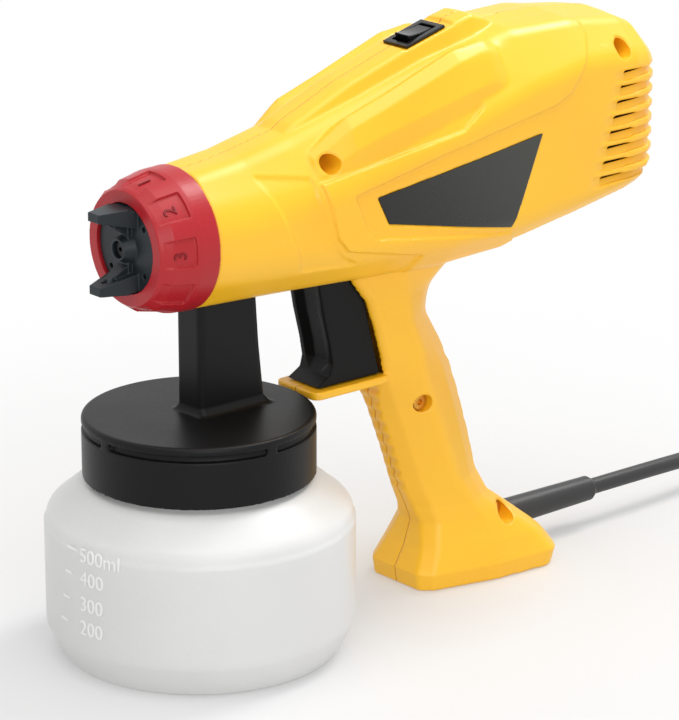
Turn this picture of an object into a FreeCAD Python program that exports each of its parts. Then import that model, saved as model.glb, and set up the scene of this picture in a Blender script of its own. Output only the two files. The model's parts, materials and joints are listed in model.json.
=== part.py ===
import FreeCAD, Part
import math
import os
import re
import Sketcher
from FreeCAD import Placement, Rotation, Vector

# Hand held turbine paint sprayer. Millimetres, +X is the spray direction, +Y the operator's left, +Z up.
# The origin is the foot of the cup's axis, on the surface that the sprayer stands on.

# Driving dimensions. Each one becomes a cell of the spreadsheet with this name as its alias.
SIZES = {
    # Paint cup, turned about the Z axis
    "cup_radius": 61.7,
    "cup_wall": 1.8,
    "cup_foot_radius": 55.6,
    "cup_foot_rise": 10.5,
    "cup_shoulder_rise": 51.0,
    "cup_root_rise": 70.0,
    "cup_root_radius": 46.0,
    "cup_neck_radius": 42.4,
    "cup_rim_rise": 90.7,
    "cup_foot_round": 2.5,
    "cup_side_round": 14.0,
    "cup_thread_depth": 0.6,
    "cup_thread_width": 2.0,
    "cup_thread_pitch": 6.0,
    "cup_thread_rise": 76.0,
    # Lid of the cup, with the pillar that carries the gun
    "lid_radius": 46.0,
    "lid_top": 97.0,
    "lid_plate": 3.3,
    "lid_skirt_end": 72.5,
    "lid_bore": 43.4,
    "lid_top_round": 1.6,
    "lid_slot_top": 94.0,
    "lid_slot_height": 2.8,
    "lid_slot_depth": 1.9,
    "lid_slot_sweep": 84.0,
    "lid_slot_count": 4.0,
    "seal_inner": 38.0,
    "seal_outer": 42.8,
    "seal_gap": 0.3,
    "pillar_front": 4.8,
    "pillar_rear_top": -23.5,
    "pillar_rear_low": -27.6,
    "pillar_half": 7.8,
    "pillar_round": 2.4,
    "pillar_flare": 3.0,
    "pillar_top": 145.1,
    "feed_place": -8.0,
    "feed_bore": 3.0,
    "boss_radius": 6.4,
    "vent_place": -19.0,
    "vent_bore": 2.0,
    # Suction tube and the valve that keeps paint out of the air line
    "suction_outer": 4.5,
    "suction_bore": 3.0,
    "suction_bend_rise": 58.0,
    "suction_end_place": 30.0,
    "suction_end_rise": 7.0,
    "valve_radius": 5.0,
    "valve_height": 7.0,
    # Nozzle line
    "nozzle_rise": 169.2,
    "hub_rear": -44.0,
    "hub_front": 12.0,
    "hub_radius": 9.0,
    "needle_radius": 1.5,
    "needle_fit": 0.08,
    "socket_front": 27.0,
    "socket_rear": -4.0,
    "socket_radius": 24.0,
    "socket_wall": 2.4,
    "web_thickness": 3.0,
    "web_hole_radius": 3.2,
    "web_hole_place": 13.4,
    "web_hole_count": 8.0,
    "jet_root_radius": 6.0,
    "jet_tip_radius": 2.8,
    "jet_tip_place": 36.4,
    "jet_bore": 1.9,
    "jet_orifice": 0.9,
    "cap_gap": 0.6,
    # Air cap with its two horns
    "cap_face": 33.2,
    "cap_radius": 17.3,
    "cap_wall": 2.0,
    "cap_flange_radius": 20.4,
    "cap_boss_radius": 6.2,
    "cap_boss_place": 37.7,
    "horn_tip_place": 48.8,
    "horn_outer_root": 17.0,
    "horn_inner_root": 8.6,
    "horn_half_root": 7.4,
    "horn_outer_tip": 16.0,
    "horn_inner_tip": 12.6,
    "horn_half_tip": 3.4,
    "horn_hole_radius": 1.1,
    "horn_side_hole_radius": 0.6,
    "horn_side_hole_place": 2.6,
    "ridge_half": 3.2,
    "ridge_rise": 1.8,
    "gusset_place": 43.6,
    "face_hole_radius": 1.0,
    "face_hole_across": 10.4,
    "face_hole_rise": 9.2,
    # Selector ring
    "ring_rear": 10.5,
    "ring_rear_radius": 28.4,
    "ring_band_end": 18.5,
    "ring_front": 34.5,
    "ring_front_radius": 24.4,
    "ring_lip_radius": 22.4,
    "ring_lip_bore": 17.6,
    "ring_lip_thickness": 2.6,
    "ring_fit": 0.3,
    "ring_grip_count": 9.0,
    "ring_grip_angle": 24.0,
    "ring_grip_turn": 6.0,
    "ring_grip_depth": 1.1,
    "ring_grip_rear": 20.5,
    "ring_seal_half": 0.15,
    # Body stations: place along X, top, half width of the crown, half width, shoulder, hip,
    # half width of the base and base
    "shell_wall": 2.4,
    "tail_round": 20.0,
    "tail_flat": 84.0,
    "step_place": -146.0,
    "keel_slope": 10.2,
    "shell_gap": 0.25,
    # Raised spine on top, from its foot behind the ring to its end behind the switch
    "spine_half": 8.5,
    "spine_base_half": 15.0,
    "spine_round": 3.0,
    # Ledge under the trigger
    "ledge_front": -48.4,
    "ledge_top": 96.7,
    "ledge_thickness": 3.4,
    "ledge_half": 13.0,
    # Air intake louvres
    "louvre_count": 8.0,
    "louvre_pitch": 6.1,
    "louvre_height": 3.1,
    "louvre_top": 207.5,
    "louvre_front_top": -196.6,
    "louvre_front_low": -184.1,
    "louvre_post_half": 2.4,
    "ramp_reach": 7.0,
    "ramp_depth": 1.6,
    "ramp_rim": 0.8,
    # Screws that hold the two halves
    "screw_radius": 1.7,
    "screw_length": 16.0,
    "screw_head_radius": 3.2,
    "screw_head_height": 2.2,
    "screw_recess_radius": 4.0,
    "screw_boss_radius": 4.6,
    "screw_seat": 9.0,
    # Side plate, bare
    "frame_rise": 1.6,
    "facet_depth": 0.9,
    "ridge_base": 20.0,
    # Finger ribs of the grip and the line round its foot
    "rib_radius": 2.6,
    "rib_pitch": 5.6,
    "rib_depth": 0.8,
    "rib_first": 88.0,
    "rib_count": 9.0,
    "scallop_radius": 7.0,
    "scallop_pitch": 10.4,
    "scallop_depth": 0.8,
    "scallop_first": 100.0,
    "scallop_count": 6.0,
    "foot_line_rise": 9.0,
    "foot_line_place": -98.0,
    "foot_line_slope": 3.4,
    "foot_line_width": 0.7,
    "foot_line_depth": 0.5,
    "plate_thickness": 0.8,
    "plate_gap": 0.3,
    # Switch
    "switch_place": -110.7,
    "switch_rise": 230.6,
    "switch_slope": 16.1,
    "switch_length": 21.0,
    "switch_width": 14.4,
    "switch_rim": 1.4,
    "switch_body_length": 18.6,
    "switch_body_width": 11.6,
    "switch_body_depth": 10.5,
    "switch_wall": 1.2,
    "rocker_pivot_depth": 2.6,
    "rocker_half_length": 6.6,
    "rocker_fit": 0.35,
    # Trigger
    "trigger_half": 10.0,
    "trigger_wall": 2.0,
    "channel_floor_half": 3.6,
    "pivot_place": -50.0,
    "pivot_rise": 184.0,
    "pivot_radius": 2.0,
    "pivot_fit": 0.1,
    "pivot_length": 27.0,
    "trigger_eye_radius": 5.0,
    "trigger_arm_inner": 7.2,
    "trigger_arm_wall": 2.4,
    "needle_collar_place": -56.5,
    "yoke_fit": 1.1,
    "needle_collar_radius": 5.0,
    "needle_tail": -84.0,
    "guide_thickness": 3.0,
    "guide_half": 29.6,
    "guide_top": 13.0,
    "guide_low": 11.0,
    "spring_wire": 0.45,
    "spring_radius": 3.4,
    "spring_turns": 6.0,
    "spring_end": -80.0,
    # Motor and turbine
    "motor_rise": 186.0,
    "motor_front": -112.0,
    "motor_length": 52.0,
    "motor_radius": 19.5,
    "motor_neck_radius": 8.0,
    "motor_ring_front_radius": 30.8,
    "motor_ring_rear_radius": 31.3,
    "motor_ring_hole": 3.2,
    "motor_ring_hole_place": 25.0,
    "motor_ring_hole_count": 8.0,
    "shaft_radius": 2.5,
    "shaft_fit": 0.05,
    "shroud_radius": 27.5,
    "shroud_wall": 1.8,
    "shroud_length": 24.0,
    "shroud_inlet": 14.0,
    "impeller_radius": 24.6,
    "impeller_length": 11.0,
    "impeller_eye": 12.0,
    "impeller_blades": 12.0,
    "blade_thickness": 1.2,
    "duct_radius": 17.5,
    "duct_wall": 1.6,
    "duct_front": -4.3,
    # Filter behind the louvres and its cover in the underside
    "hatch_front": -152.0,
    "hatch_rear": -214.0,
    "hatch_half": 20.5,
    "hatch_wall": 2.4,
    "hatch_gap": 0.4,
    "filter_rear": -218.0,
    "filter_thickness": 6.0,
    "filter_half": 21.0,
    "filter_low": 163.0,
    "filter_top": 209.0,
    # Mains lead
    "cord_radius": 3.5,
    "cord_rise": 15.9,
    "boot_front": -126.0,
    "boot_root": -169.5,
    "boot_tip": -214.0,
    "boot_root_radius": 6.2,
    "boot_tip_radius": 5.4,
    "boot_flange_place": -153.0,
    "boot_flange_radius": 7.6,
    "boot_flange_width": 3.0,
    "clamp_length": 8.0,
    "clamp_width": 14.0,
    "clamp_height": 4.0,
    "coil_inner": 32.0,
    "coil_outer": 52.6,
    "coil_turns": 2.75,
    "coil_step": 7.5,
    "coil_place": -407.0,
    "coil_side": 34.0,
    "plug_length": 35.0,
    "plug_width": 35.0,
    "plug_height": 13.8,
    "pin_radius": 2.0,
    "pin_length": 19.0,
    "pin_spacing": 18.6,
}

# Cross sections of the body, front to rear.
BODY_KEYS = ("place", "top", "crown", "half", "shoulder", "hip", "base_half", "base")
BODY = {
    "nose": (9.6, 195.8, 11.1, 26.9, 180.3, 158.1, 11.1, 142.3),
    "throat": (-14.0, 199.0, 11.6, 27.9, 181.0, 157.2, 12.0, 141.6),
    "collar": (-37.0, 204.3, 12.6, 29.4, 183.0, 156.2, 13.4, 141.0),
    "waist": (-70.0, 214.6, 14.6, 31.8, 189.0, 155.0, 17.0, 140.5),
    "breast": (-105.0, 225.2, 16.0, 33.4, 199.0, 154.2, 20.0, 140.3),
    "crest": (-145.0, 233.6, 18.0, 34.0, 211.0, 155.0, 21.5, 142.8),
    "loin": (-175.0, 234.2, 20.0, 34.0, 216.0, 159.0, 21.5, 147.5),
    "tail": (-203.5, 231.0, 20.0, 33.6, 215.0, 164.0, 21.5, 152.8),
}

# Level cross sections of the handle and its foot: height, front, half width of the nose, depth and half
# width of the flank edge, depth and half width of the widest line, depth and half width of the heel line,
# half width of the back and rear.
GRIP_KEYS = ("level", "front", "nose", "flank_in", "flank", "wide_in", "wide", "heel_in", "heel", "back", "rear")
GRIP = {
    "root": (147.0, -66.0, 11.5, 2.0, 13.5, 25.0, 20.0, 15.0, 18.0, 8.0, -138.0),
    "neck": (138.0, -69.0, 11.4, 2.0, 13.4, 23.0, 18.2, 12.0, 15.0, 7.0, -125.5),
    "web": (129.0, -76.0, 11.3, 2.0, 13.2, 19.0, 16.6, 9.0, 12.0, 6.0, -115.0),
    "throat": (118.0, -80.0, 11.3, 2.0, 13.2, 17.0, 16.0, 8.0, 11.0, 5.0, -113.5),
    "palm": (104.0, -84.0, 11.2, 2.2, 13.2, 19.0, 16.0, 9.0, 11.0, 5.0, -121.5),
    "shelf": (93.0, -84.5, 8.0, 4.0, 11.0, 20.0, 15.8, 9.0, 10.8, 4.6, -127.2),
    "finger": (80.0, -88.6, 3.8, 6.0, 9.2, 21.0, 15.5, 9.0, 10.5, 4.5, -132.0),
    "middle": (60.0, -96.3, 3.8, 6.0, 9.2, 21.0, 15.5, 9.0, 10.5, 4.5, -138.2),
    "little": (43.0, -102.2, 4.0, 6.0, 9.6, 22.0, 15.6, 9.0, 10.8, 4.6, -142.6),
    "ankle": (33.0, -107.2, 5.0, 5.6, 11.2, 23.0, 16.8, 9.0, 13.0, 7.0, -147.5),
    "instep": (26.0, -109.9, 7.0, 4.6, 13.2, 25.0, 19.0, 8.0, 18.0, 11.0, -156.0),
    "edge": (16.0, -106.6, 11.0, 4.6, 16.8, 31.0, 23.4, 6.5, 24.4, 18.0, -167.4),
    "rim": (7.0, -101.4, 14.0, 5.4, 19.4, 35.0, 26.0, 6.0, 28.2, 21.5, -172.8),
    "sole": (0.0, -102.6, 14.0, 5.0, 18.4, 34.0, 25.2, 6.0, 27.0, 21.0, -171.2),
}

# Top line of the spine: place along X and height.
SPINE = {
    "foot": (-33.0, 201.6),
    "kink": (-41.0, 207.0),
    "rise": (-70.0, 219.3),
    "deck": (-97.0, 228.2),
    "brow": (-127.0, 236.5),
    "peak": (-133.5, 238.0),
    "drop": (-141.0, 235.6),
    "end": (-147.0, 232.4),
}

# Channel of the trigger: place along X and height, both from the front of the ledge, and depth.
CHANNEL = (
    (-9.6, 4.0, 0.3), (-11.6, 9.0, 1.9), (-10.2, 17.0, 2.2), (-7.0, 30.0, 2.2), (-5.0, 41.0, 2.2),
    (-4.6, 51.0, 2.2),
)

# Screws: place along X and height of each one's axis.
SCREWS = {
    "front": (-46.0, 193.5),
    "rear": (-197.0, 218.0),
    "grip": (-105.0, 81.0),
    "foot": (-147.0, 25.0),
}

# Corners of the bare side plate, in the side view.
PLATE = ((-65.0, 178.0), (-70.6, 166.6), (-135.0, 153.9), (-150.0, 190.7))

# Route of the lead from the boot to the coil: place along X, Y and Z.
CORD_ROUTE = (
    (-214.0, 0.0, 15.9),
    (-268.0, 0.0, 15.9),
    (-324.0, -9.0, 9.8),
    (-364.0, -18.6, 3.5),
    (-400.0, -18.6, 3.5),
)

# Route of the lead from the coil to the plug.
TAIL_ROUTE = (
    (-414.0, -18.6, 11.0),
    (-438.0, -18.6, 11.0),
    (-462.0, -16.0, 6.9),
    (-486.0, -13.0, 6.9),
)

# Raised frame round the plate, in the side view: over the plate to the top behind the switch, down its
# front end and back under it as far as the step.
FRAME = (
    (-39.8, 186.9), (-107.4, 198.4), (-118.0, 205.4), (-132.0, 222.3), (-133.0, 236.0), (-179.3, 236.0),
    (-180.6, 226.4), (-164.6, 205.2), (-156.0, 201.4), (-97.0, 190.6), (-53.2, 180.6), (-59.2, 166.2),
    (-64.3, 161.3), (-137.0, 150.6), (-141.0, 146.5), (-141.0, 138.0), (-88.0, 138.0), (-90.4, 150.1),
    (-50.7, 159.0), (-45.7, 164.6),
)

# Sunk facet between the nose and the raised frame.
FACET = ((-14.0, 192.6), (-37.6, 189.4), (-37.8, 183.0), (-44.0, 163.6), (-49.6, 156.6), (-60.0, 151.0),
         (-31.4, 153.0))

# Ridge beside the spine: place along X, then across and up of its five edges.
RIDGE = (
    (-40.0, (12.0, 192.0), (15.5, 196.6), (18.5, 197.6), (22.0, 195.0), (25.5, 188.5)),
    (-57.0, (12.0, 200.0), (17.2, 207.6), (21.0, 209.2), (25.2, 205.6), (28.6, 198.0)),
    (-79.0, (12.5, 208.0), (17.6, 214.8), (21.5, 216.6), (26.2, 213.0), (29.8, 204.0)),
    (-111.0, (13.0, 220.0), (18.0, 226.6), (22.0, 228.2), (27.0, 224.0), (31.2, 212.0)),
    (-127.0, (13.0, 223.0), (18.0, 230.0), (22.0, 231.0), (27.0, 227.0), (31.6, 216.0)),
    (-134.0, (13.0, 222.0), (18.0, 227.0), (22.0, 227.6), (26.6, 224.0), (31.0, 212.0)),
)

doc = FreeCAD.newDocument("Sprayer")
sheet = doc.addObject("Spreadsheet::Sheet", "Sizes")


def store(rows):
    """Writes the sizes into the sheet, one row each, with its name as the alias."""
    for row, (name, value) in enumerate(rows, 1):
        sheet.set("A%d" % row, name)
        sheet.set("B%d" % row, str(value))
        sheet.setAlias("B%d" % row, name)
    doc.recompute()


def table_rows(prefix, keys, table):
    """Names every number of a table of sections, such as body_waist_top."""
    return [
        ("%s_%s_%s" % (prefix, station, key), value)
        for station, values in table.items()
        for key, value in zip(keys, values)
    ]


PLACE_KEYS = ("place", "rise")
store(
    list(SIZES.items())
    + table_rows("body", BODY_KEYS, BODY)
    + table_rows("grip", GRIP_KEYS, GRIP)
    + table_rows("spine", PLACE_KEYS, SPINE)
    + table_rows("screw", PLACE_KEYS, SCREWS)
)


def size(name):
    """Value of a cell, in millimetres, degrees or as a count."""
    return float(sheet.get(name))


def section(prefix, keys, station):
    """Values of one row of a table of sections, by key."""
    return {key: size("%s_%s_%s" % (prefix, station, key)) for key in keys}


def cells(text):
    """Turns a formula of size names into an expression on the sheet."""
    return re.sub(r"[a-z]+(?:_[a-z]+)+", lambda found: "Sizes." + found.group(0), str(text))


def bind(thing, **formulas):
    """Binds properties to formulas; two underscores stand for a dot in the property's path."""
    for path, formula in formulas.items():
        thing.setExpression(path.replace("__", "."), cells(formula))
    return thing


def new_body(label, **place):
    """Body of one piece, moved to its place by formulas for x, y and z."""
    body = doc.addObject("PartDesign::Body", label)
    body.Label = label
    for axis, formula in place.items():
        body.setExpression("Placement.Base." + axis, cells(formula))
    return body


def origin_part(body, role):
    return next(item for item in body.Origin.OriginFeatures if item.Role == role)


def new_sketch(body, plane, turn=0.0):
    """Sketch on an origin plane, turned about the plane's second axis."""
    sketch = body.newObject("Sketcher::SketchObject", body.Name + "_sketch")
    sketch.AttachmentSupport = [(origin_part(body, plane), "")]
    sketch.MapMode = "FlatFace"
    sketch.AttachmentOffset = Placement(Vector(), Rotation(Vector(0, 1, 0), turn))
    return sketch


def fix_point(sketch, geometry, point, place):
    """Holds a point of the sketch at a place given by two formulas."""
    for kind, formula in zip(("DistanceX", "DistanceY"), place):
        number = sketch.addConstraint(Sketcher.Constraint(kind, -1, 1, geometry, point, 1.0))
        sketch.setExpression("Constraints[%d]" % number, cells(formula))


def draw_polygon(sketch, corners):
    """Closed outline through corners that are each given by two formulas."""
    count = len(corners)
    start = sketch.GeometryCount
    spots = [Vector(10 + math.cos(2 * math.pi * n / count), 10 + math.sin(2 * math.pi * n / count), 0)
             for n in range(count)]
    for number in range(count):
        sketch.addGeometry(Part.LineSegment(spots[number], spots[(number + 1) % count]), False)
    for number in range(count):
        following = start + (number + 1) % count
        sketch.addConstraint(Sketcher.Constraint("Coincident", start + number, 2, following, 1))
    for number, corner in enumerate(corners):
        fix_point(sketch, start + number, 1, corner)


def draw_circle(sketch, centre, radius):
    """Circle whose centre and radius are given by formulas."""
    number = sketch.addGeometry(Part.Circle(Vector(1, 1, 0), Vector(0, 0, 1), 1.0), False)
    fix_point(sketch, number, 3, centre)
    held = sketch.addConstraint(Sketcher.Constraint("Radius", number, 1.0))
    sketch.setExpression("Constraints[%d]" % held, cells(radius))


def turned(body, corners, about, angle=360.0, turn=0.0, cut=False):
    """Turns an outline in the upright XZ plane about the X axis (H) or the Z axis (V)."""
    sketch = new_sketch(body, "XZ_Plane", turn)
    draw_polygon(sketch, corners)
    kind = "Groove" if cut else "Revolution"
    feature = body.newObject("PartDesign::" + kind, body.Name + "_" + kind.lower())
    feature.Profile = sketch
    feature.ReferenceAxis = (sketch, [about + "_Axis"])
    feature.Midplane = angle != 360.0
    bind(feature, Angle=angle)
    return feature


def extruded(body, plane, length, corners=(), circles=(), cut=False, both=True, reverse=False):
    """Pads or pockets outlines of an origin plane, to both sides unless told otherwise."""
    sketch = new_sketch(body, plane)
    if corners:
        draw_polygon(sketch, corners)
    for centre, radius in circles:
        draw_circle(sketch, centre, radius)
    kind = "Pocket" if cut else "Pad"
    feature = body.newObject("PartDesign::" + kind, body.Name + "_" + kind.lower())
    feature.Profile = sketch
    feature.Midplane = both
    feature.Reversed = reverse
    bind(feature, Length=length)
    return feature


def around(body, feature, axis, count):
    """Copies a feature evenly around an origin axis of its body."""
    doc.recompute()
    pattern = body.newObject("PartDesign::PolarPattern", body.Name + "_pattern")
    pattern.Originals = [feature]
    pattern.Axis = (origin_part(body, axis), [""])
    pattern.Angle = 360.0
    bind(pattern, Occurrences=count)
    body.Tip = pattern
    return pattern


def dressed(body, kind, amount, chosen):
    """Fillet or chamfer on the edges of the tip that the test picks out."""
    doc.recompute()
    base = body.Tip
    names = ["Edge%d" % number for number, edge in enumerate(base.Shape.Edges, 1) if chosen(edge)]
    feature = body.newObject("PartDesign::" + kind, body.Name + "_" + kind.lower())
    feature.Base = (base, names)
    bind(feature, **{"Radius" if kind == "Fillet" else "Size": amount})
    return feature


def on_circle(radius, **place):
    """Test for whole circles and arcs of a radius, at a place along x, y or z."""
    def chosen(edge):
        if not isinstance(edge.Curve, Part.Circle) or abs(edge.Curve.Radius - radius) > 1e-4:
            return False
        return all(abs(getattr(edge.Curve.Center, axis) - value) < 1e-4 for axis, value in place.items())
    return chosen


def plain(label, shape):
    """Piece whose form is made in code, because no sketch or primitive fits it."""
    piece = doc.addObject("Part::Feature", label)
    piece.Label = label
    piece.Shape = shape
    return piece


def primitive(kind, label, **formulas):
    """Part primitive with its sizes and place bound to the sheet."""
    piece = doc.addObject("Part::" + kind, label)
    piece.Label = label
    return bind(piece, **formulas)


def joined(label, pieces):
    piece = doc.addObject("Part::MultiFuse", label)
    piece.Label = label
    piece.Shapes = pieces
    return piece


def cut_from(label, base, tool):
    piece = doc.addObject("Part::Cut", label)
    piece.Label = label
    piece.Base = base
    piece.Tool = tool
    return piece


def make_cup():
    """Blown cup, turned about Z: foot, straight side, shoulder and threaded neck."""
    body = new_body("paint_cup")
    outer = [
        ("0", "0"),
        ("cup_foot_radius", "0"),
        ("cup_radius", "cup_foot_rise"),
        ("cup_radius", "cup_shoulder_rise"),
        ("cup_root_radius", "cup_root_rise"),
        ("cup_neck_radius", "cup_root_rise + cup_wall"),
        ("cup_neck_radius", "cup_rim_rise"),
    ]
    inner = [
        ("cup_neck_radius - cup_wall", "cup_rim_rise"),
        ("cup_neck_radius - cup_wall", "cup_root_rise"),
        ("cup_root_radius - cup_wall", "cup_root_rise - cup_wall"),
        ("cup_radius - cup_wall", "cup_shoulder_rise - cup_wall / 2"),
        ("cup_radius - cup_wall", "cup_foot_rise + cup_wall / 2"),
        ("cup_foot_radius - cup_wall / 2", "cup_wall"),
        ("0", "cup_wall"),
    ]
    turned(body, outer + inner, "V")
    radius, wall = size("cup_radius"), size("cup_wall")
    shoulder, foot = size("cup_shoulder_rise"), size("cup_foot_rise")
    dressed(body, "Fillet", "cup_side_round", on_circle(radius, z=shoulder))
    dressed(body, "Fillet", "cup_side_round - cup_wall", on_circle(radius - wall, z=shoulder - wall / 2))
    dressed(body, "Fillet", "cup_side_round", on_circle(radius, z=foot))
    dressed(body, "Fillet", "cup_foot_round", on_circle(size("cup_foot_radius"), z=0.0))
    for ring in range(2):
        low = "cup_thread_rise + %d * cup_thread_pitch" % ring
        turned(body, [
            ("cup_neck_radius - cup_wall / 2", low),
            ("cup_neck_radius", low),
            ("cup_neck_radius + cup_thread_depth", low + " + cup_thread_width / 2"),
            ("cup_neck_radius", low + " + cup_thread_width"),
            ("cup_neck_radius - cup_wall / 2", low + " + cup_thread_width"),
        ], "V")
    return body


def make_lid_shell():
    """Lid plate and threaded skirt, with four slots under the rim that leave four bridges."""
    body = new_body("lid_shell")
    turned(body, [
        ("0", "lid_top"),
        ("lid_radius", "lid_top"),
        ("lid_radius", "lid_skirt_end"),
        ("lid_bore", "lid_skirt_end"),
        ("lid_bore", "lid_top - lid_plate"),
        ("0", "lid_top - lid_plate"),
    ], "V")
    dressed(body, "Fillet", "lid_top_round", on_circle(size("lid_radius"), z=size("lid_top")))
    slot = turned(body, [
        ("lid_radius - lid_slot_depth", "lid_slot_top"),
        ("lid_radius + 1", "lid_slot_top"),
        ("lid_radius + 1", "lid_slot_top - lid_slot_height"),
        ("lid_radius - lid_slot_depth", "lid_slot_top - lid_slot_height"),
    ], "V", angle=size("lid_slot_sweep"), turn=45.0, cut=True)
    bind(slot, Angle="lid_slot_sweep")
    around(body, slot, "Z_Axis", "lid_slot_count")
    return body


def rounded_chain(points, radii):
    """Edges of an open chain of points in a plane, with its inner corners rounded."""
    edges = []
    here = points[0]
    for before, corner, after, radius in zip(points, points[1:], points[2:], radii):
        into = (corner - before).normalize()
        out = (after - corner).normalize()
        turn = into.getAngle(out)
        reach = radius * math.tan(turn / 2)
        room = 0.42 * min((corner - before).Length, (after - corner).Length)
        if reach > room:
            radius *= room / reach
            reach = room
        start, end = corner - into * reach, corner + out * reach
        bisector = (out - into).normalize()
        middle = corner + bisector * (radius / math.cos(turn / 2) - radius)
        edges += [Part.LineSegment(here, start).toShape(), Part.Arc(start, middle, end).toShape()]
        here = end
    edges.append(Part.LineSegment(here, points[-1]).toShape())
    return edges


def half_outline(points, radii, base_side):
    """Closed wire of half a cross section: the rounded chain and a straight run along the middle."""
    edges = rounded_chain(points, radii)
    first, last = points[0], points[-1]
    low = Vector(first.x, base_side, first.z)
    end = Vector(last.x, base_side, last.z)
    if base_side:
        edges = [Part.LineSegment(low, first).toShape()] + edges + [Part.LineSegment(last, end).toShape()]
    edges.append(Part.LineSegment(end, low).toShape())
    return Part.Wire(edges)


def inset(points, wall, normal):
    """Chain of points moved inward by a wall; its ends stay on the middle plane."""
    lines = []
    for start, end in zip(points, points[1:]):
        along = (end - start).normalize()
        inward = normal.cross(along).normalize()
        lines.append((start + inward * wall, along))
    moved = [lines[0][0]]
    for (start, along), (other, out) in zip(lines, lines[1:]):
        gap = other - start
        reach = gap.cross(out).dot(normal) / along.cross(out).dot(normal)
        moved.append(start + along * reach)
    last, along = lines[-1]
    moved.append(points[-1] + (last - points[-2]))
    moved[0].y = 0.0
    moved[-1].y = 0.0
    return moved


def body_section(values, wall=0.0):
    """Half cross section of the body at one place: crown, shoulder, side, hip and base."""
    x = values["place"]
    points = [
        Vector(x, 0, values["top"]),
        Vector(x, values["crown"], values["top"] - values["fall"]),
        Vector(x, values["half"], values["shoulder"]),
        Vector(x, values["half"] - values["draft"], values["hip"]),
        Vector(x, values["base_half"], values["base"]),
        Vector(x, 0, values["base"]),
    ]
    radii = [values["round"] * share for share in (0.8, 1.0, 1.0, 0.8)]
    if wall:
        points = inset(points, wall, Vector(-1, 0, 0))
        radii = [max(radius - wall, 1.0) for radius in radii]
    return half_outline(points, radii, -1.0 if wall else 0.0)


def body_values():
    """Values of every cross section of the body, with the tail rounded off by a quarter circle."""
    rows = [section("body", BODY_KEYS, station) for station in BODY]
    for row, fall, draft, radius in zip(
            rows, (0.0, 0.4, 0.8, 1.6, 2.2, 2.4, 2.4, 2.4), (0.0,) * 8,
            (25.6, 24.0, 20.0, 16.0, 14.0, 12.0, 12.0, 12.0)):
        row.update(fall=fall, draft=draft, round=radius)
    tail = rows[-1]
    bend = size("tail_round")
    for angle in (24.0, 46.0, 66.0, size("tail_flat")):
        back = bend * math.sin(math.radians(angle))
        drop = bend * (1 - math.cos(math.radians(angle)))
        end = dict(tail)
        end["place"] = tail["place"] - back
        end["top"] = tail["top"] - drop - back * 0.16
        end["crown"] = tail["crown"] - drop * 0.42
        end["half"] = tail["half"] - drop
        end["shoulder"] = tail["shoulder"] - drop * 0.5
        end["hip"] = tail["hip"] + drop * 0.2 + back * 0.12
        end["base_half"] = tail["base_half"] - drop * 0.62
        end["base"] = tail["base"] + drop * 0.35 + back * 0.18
        end["round"] = tail["round"] - drop * 0.3
        rows.append(end)
    return rows


def body_form(wall=0.0):
    """Half of the body, lofted through its cross sections, or of the hollow inside its wall."""
    rows = body_values()
    if wall:
        rows[0]["place"] += 1.0
        for row in rows[-4:]:
            row["place"] += wall
    return Part.makeLoft([body_section(row, wall) for row in rows], True, True)


def grip_section(values, wall=0.0):
    """Half cross section of the handle at one height: nose, flank, widest line, heel and back."""
    z = values["level"]
    front, rear = values["front"], values["rear"]
    points = [
        Vector(front, 0, z),
        Vector(front, values["nose"], z),
        Vector(front - values["flank_in"], values["flank"], z),
        Vector(front - values["wide_in"], values["wide"], z),
        Vector(rear + values["heel_in"], values["heel"], z),
        Vector(rear, values["back"], z),
        Vector(rear, 0, z),
    ]
    radii = [3.0, 5.0, 9.0, 8.0, 5.0]
    if wall:
        points = inset(points, wall, Vector(0, 0, 1))
        radii = [max(radius - wall, 1.0) for radius in radii]
    return half_outline(points, radii, -1.0 if wall else 0.0)


def grip_form(wall=0.0):
    """Half of the handle with its flared foot, or of the hollow inside its wall."""
    rows = [section("grip", GRIP_KEYS, station) for station in GRIP]
    if wall:
        rows[-1]["level"] += wall
    return Part.makeLoft([grip_section(row, wall) for row in rows], True, True)


def spine_form():
    """Raised spine along the top, which carries the switch and ends in a small step behind it."""
    half, base, radius = size("spine_half"), size("spine_base_half"), size("spine_round")
    rows = [section("spine", PLACE_KEYS, station) for station in SPINE]
    low = 16.0
    wires = []
    for row in rows:
        x, z = row["place"], row["rise"]
        points = [Vector(x, 0, z), Vector(x, half, z - 0.4), Vector(x, base, z - low), Vector(x, 0, z - low)]
        wires.append(half_outline(points, [radius, 1.0], 0.0))
    return Part.makeLoft(wires, True, True)


def slab(length, height, x, z, slope, half=60.0):
    """Box along X that is turned about the Y axis at its front lower corner."""
    box = Part.makeBox(length, 2 * half, height, Vector(-length, -half, 0))
    box.rotate(Vector(), Vector(0, 1, 0), slope)
    box.translate(Vector(x, 0, z))
    return box


def rod(radius, length, x, y, z, along=Vector(0, 1, 0)):
    return Part.makeCylinder(radius, length, Vector(x, y, z), along)


def underside_cut(extra=0.0):
    """What is taken off the underside behind the step."""
    return slab(120.0, 40.0, size("step_place") + extra, 146.4 + extra - 40.0, size("keel_slope"))


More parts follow.
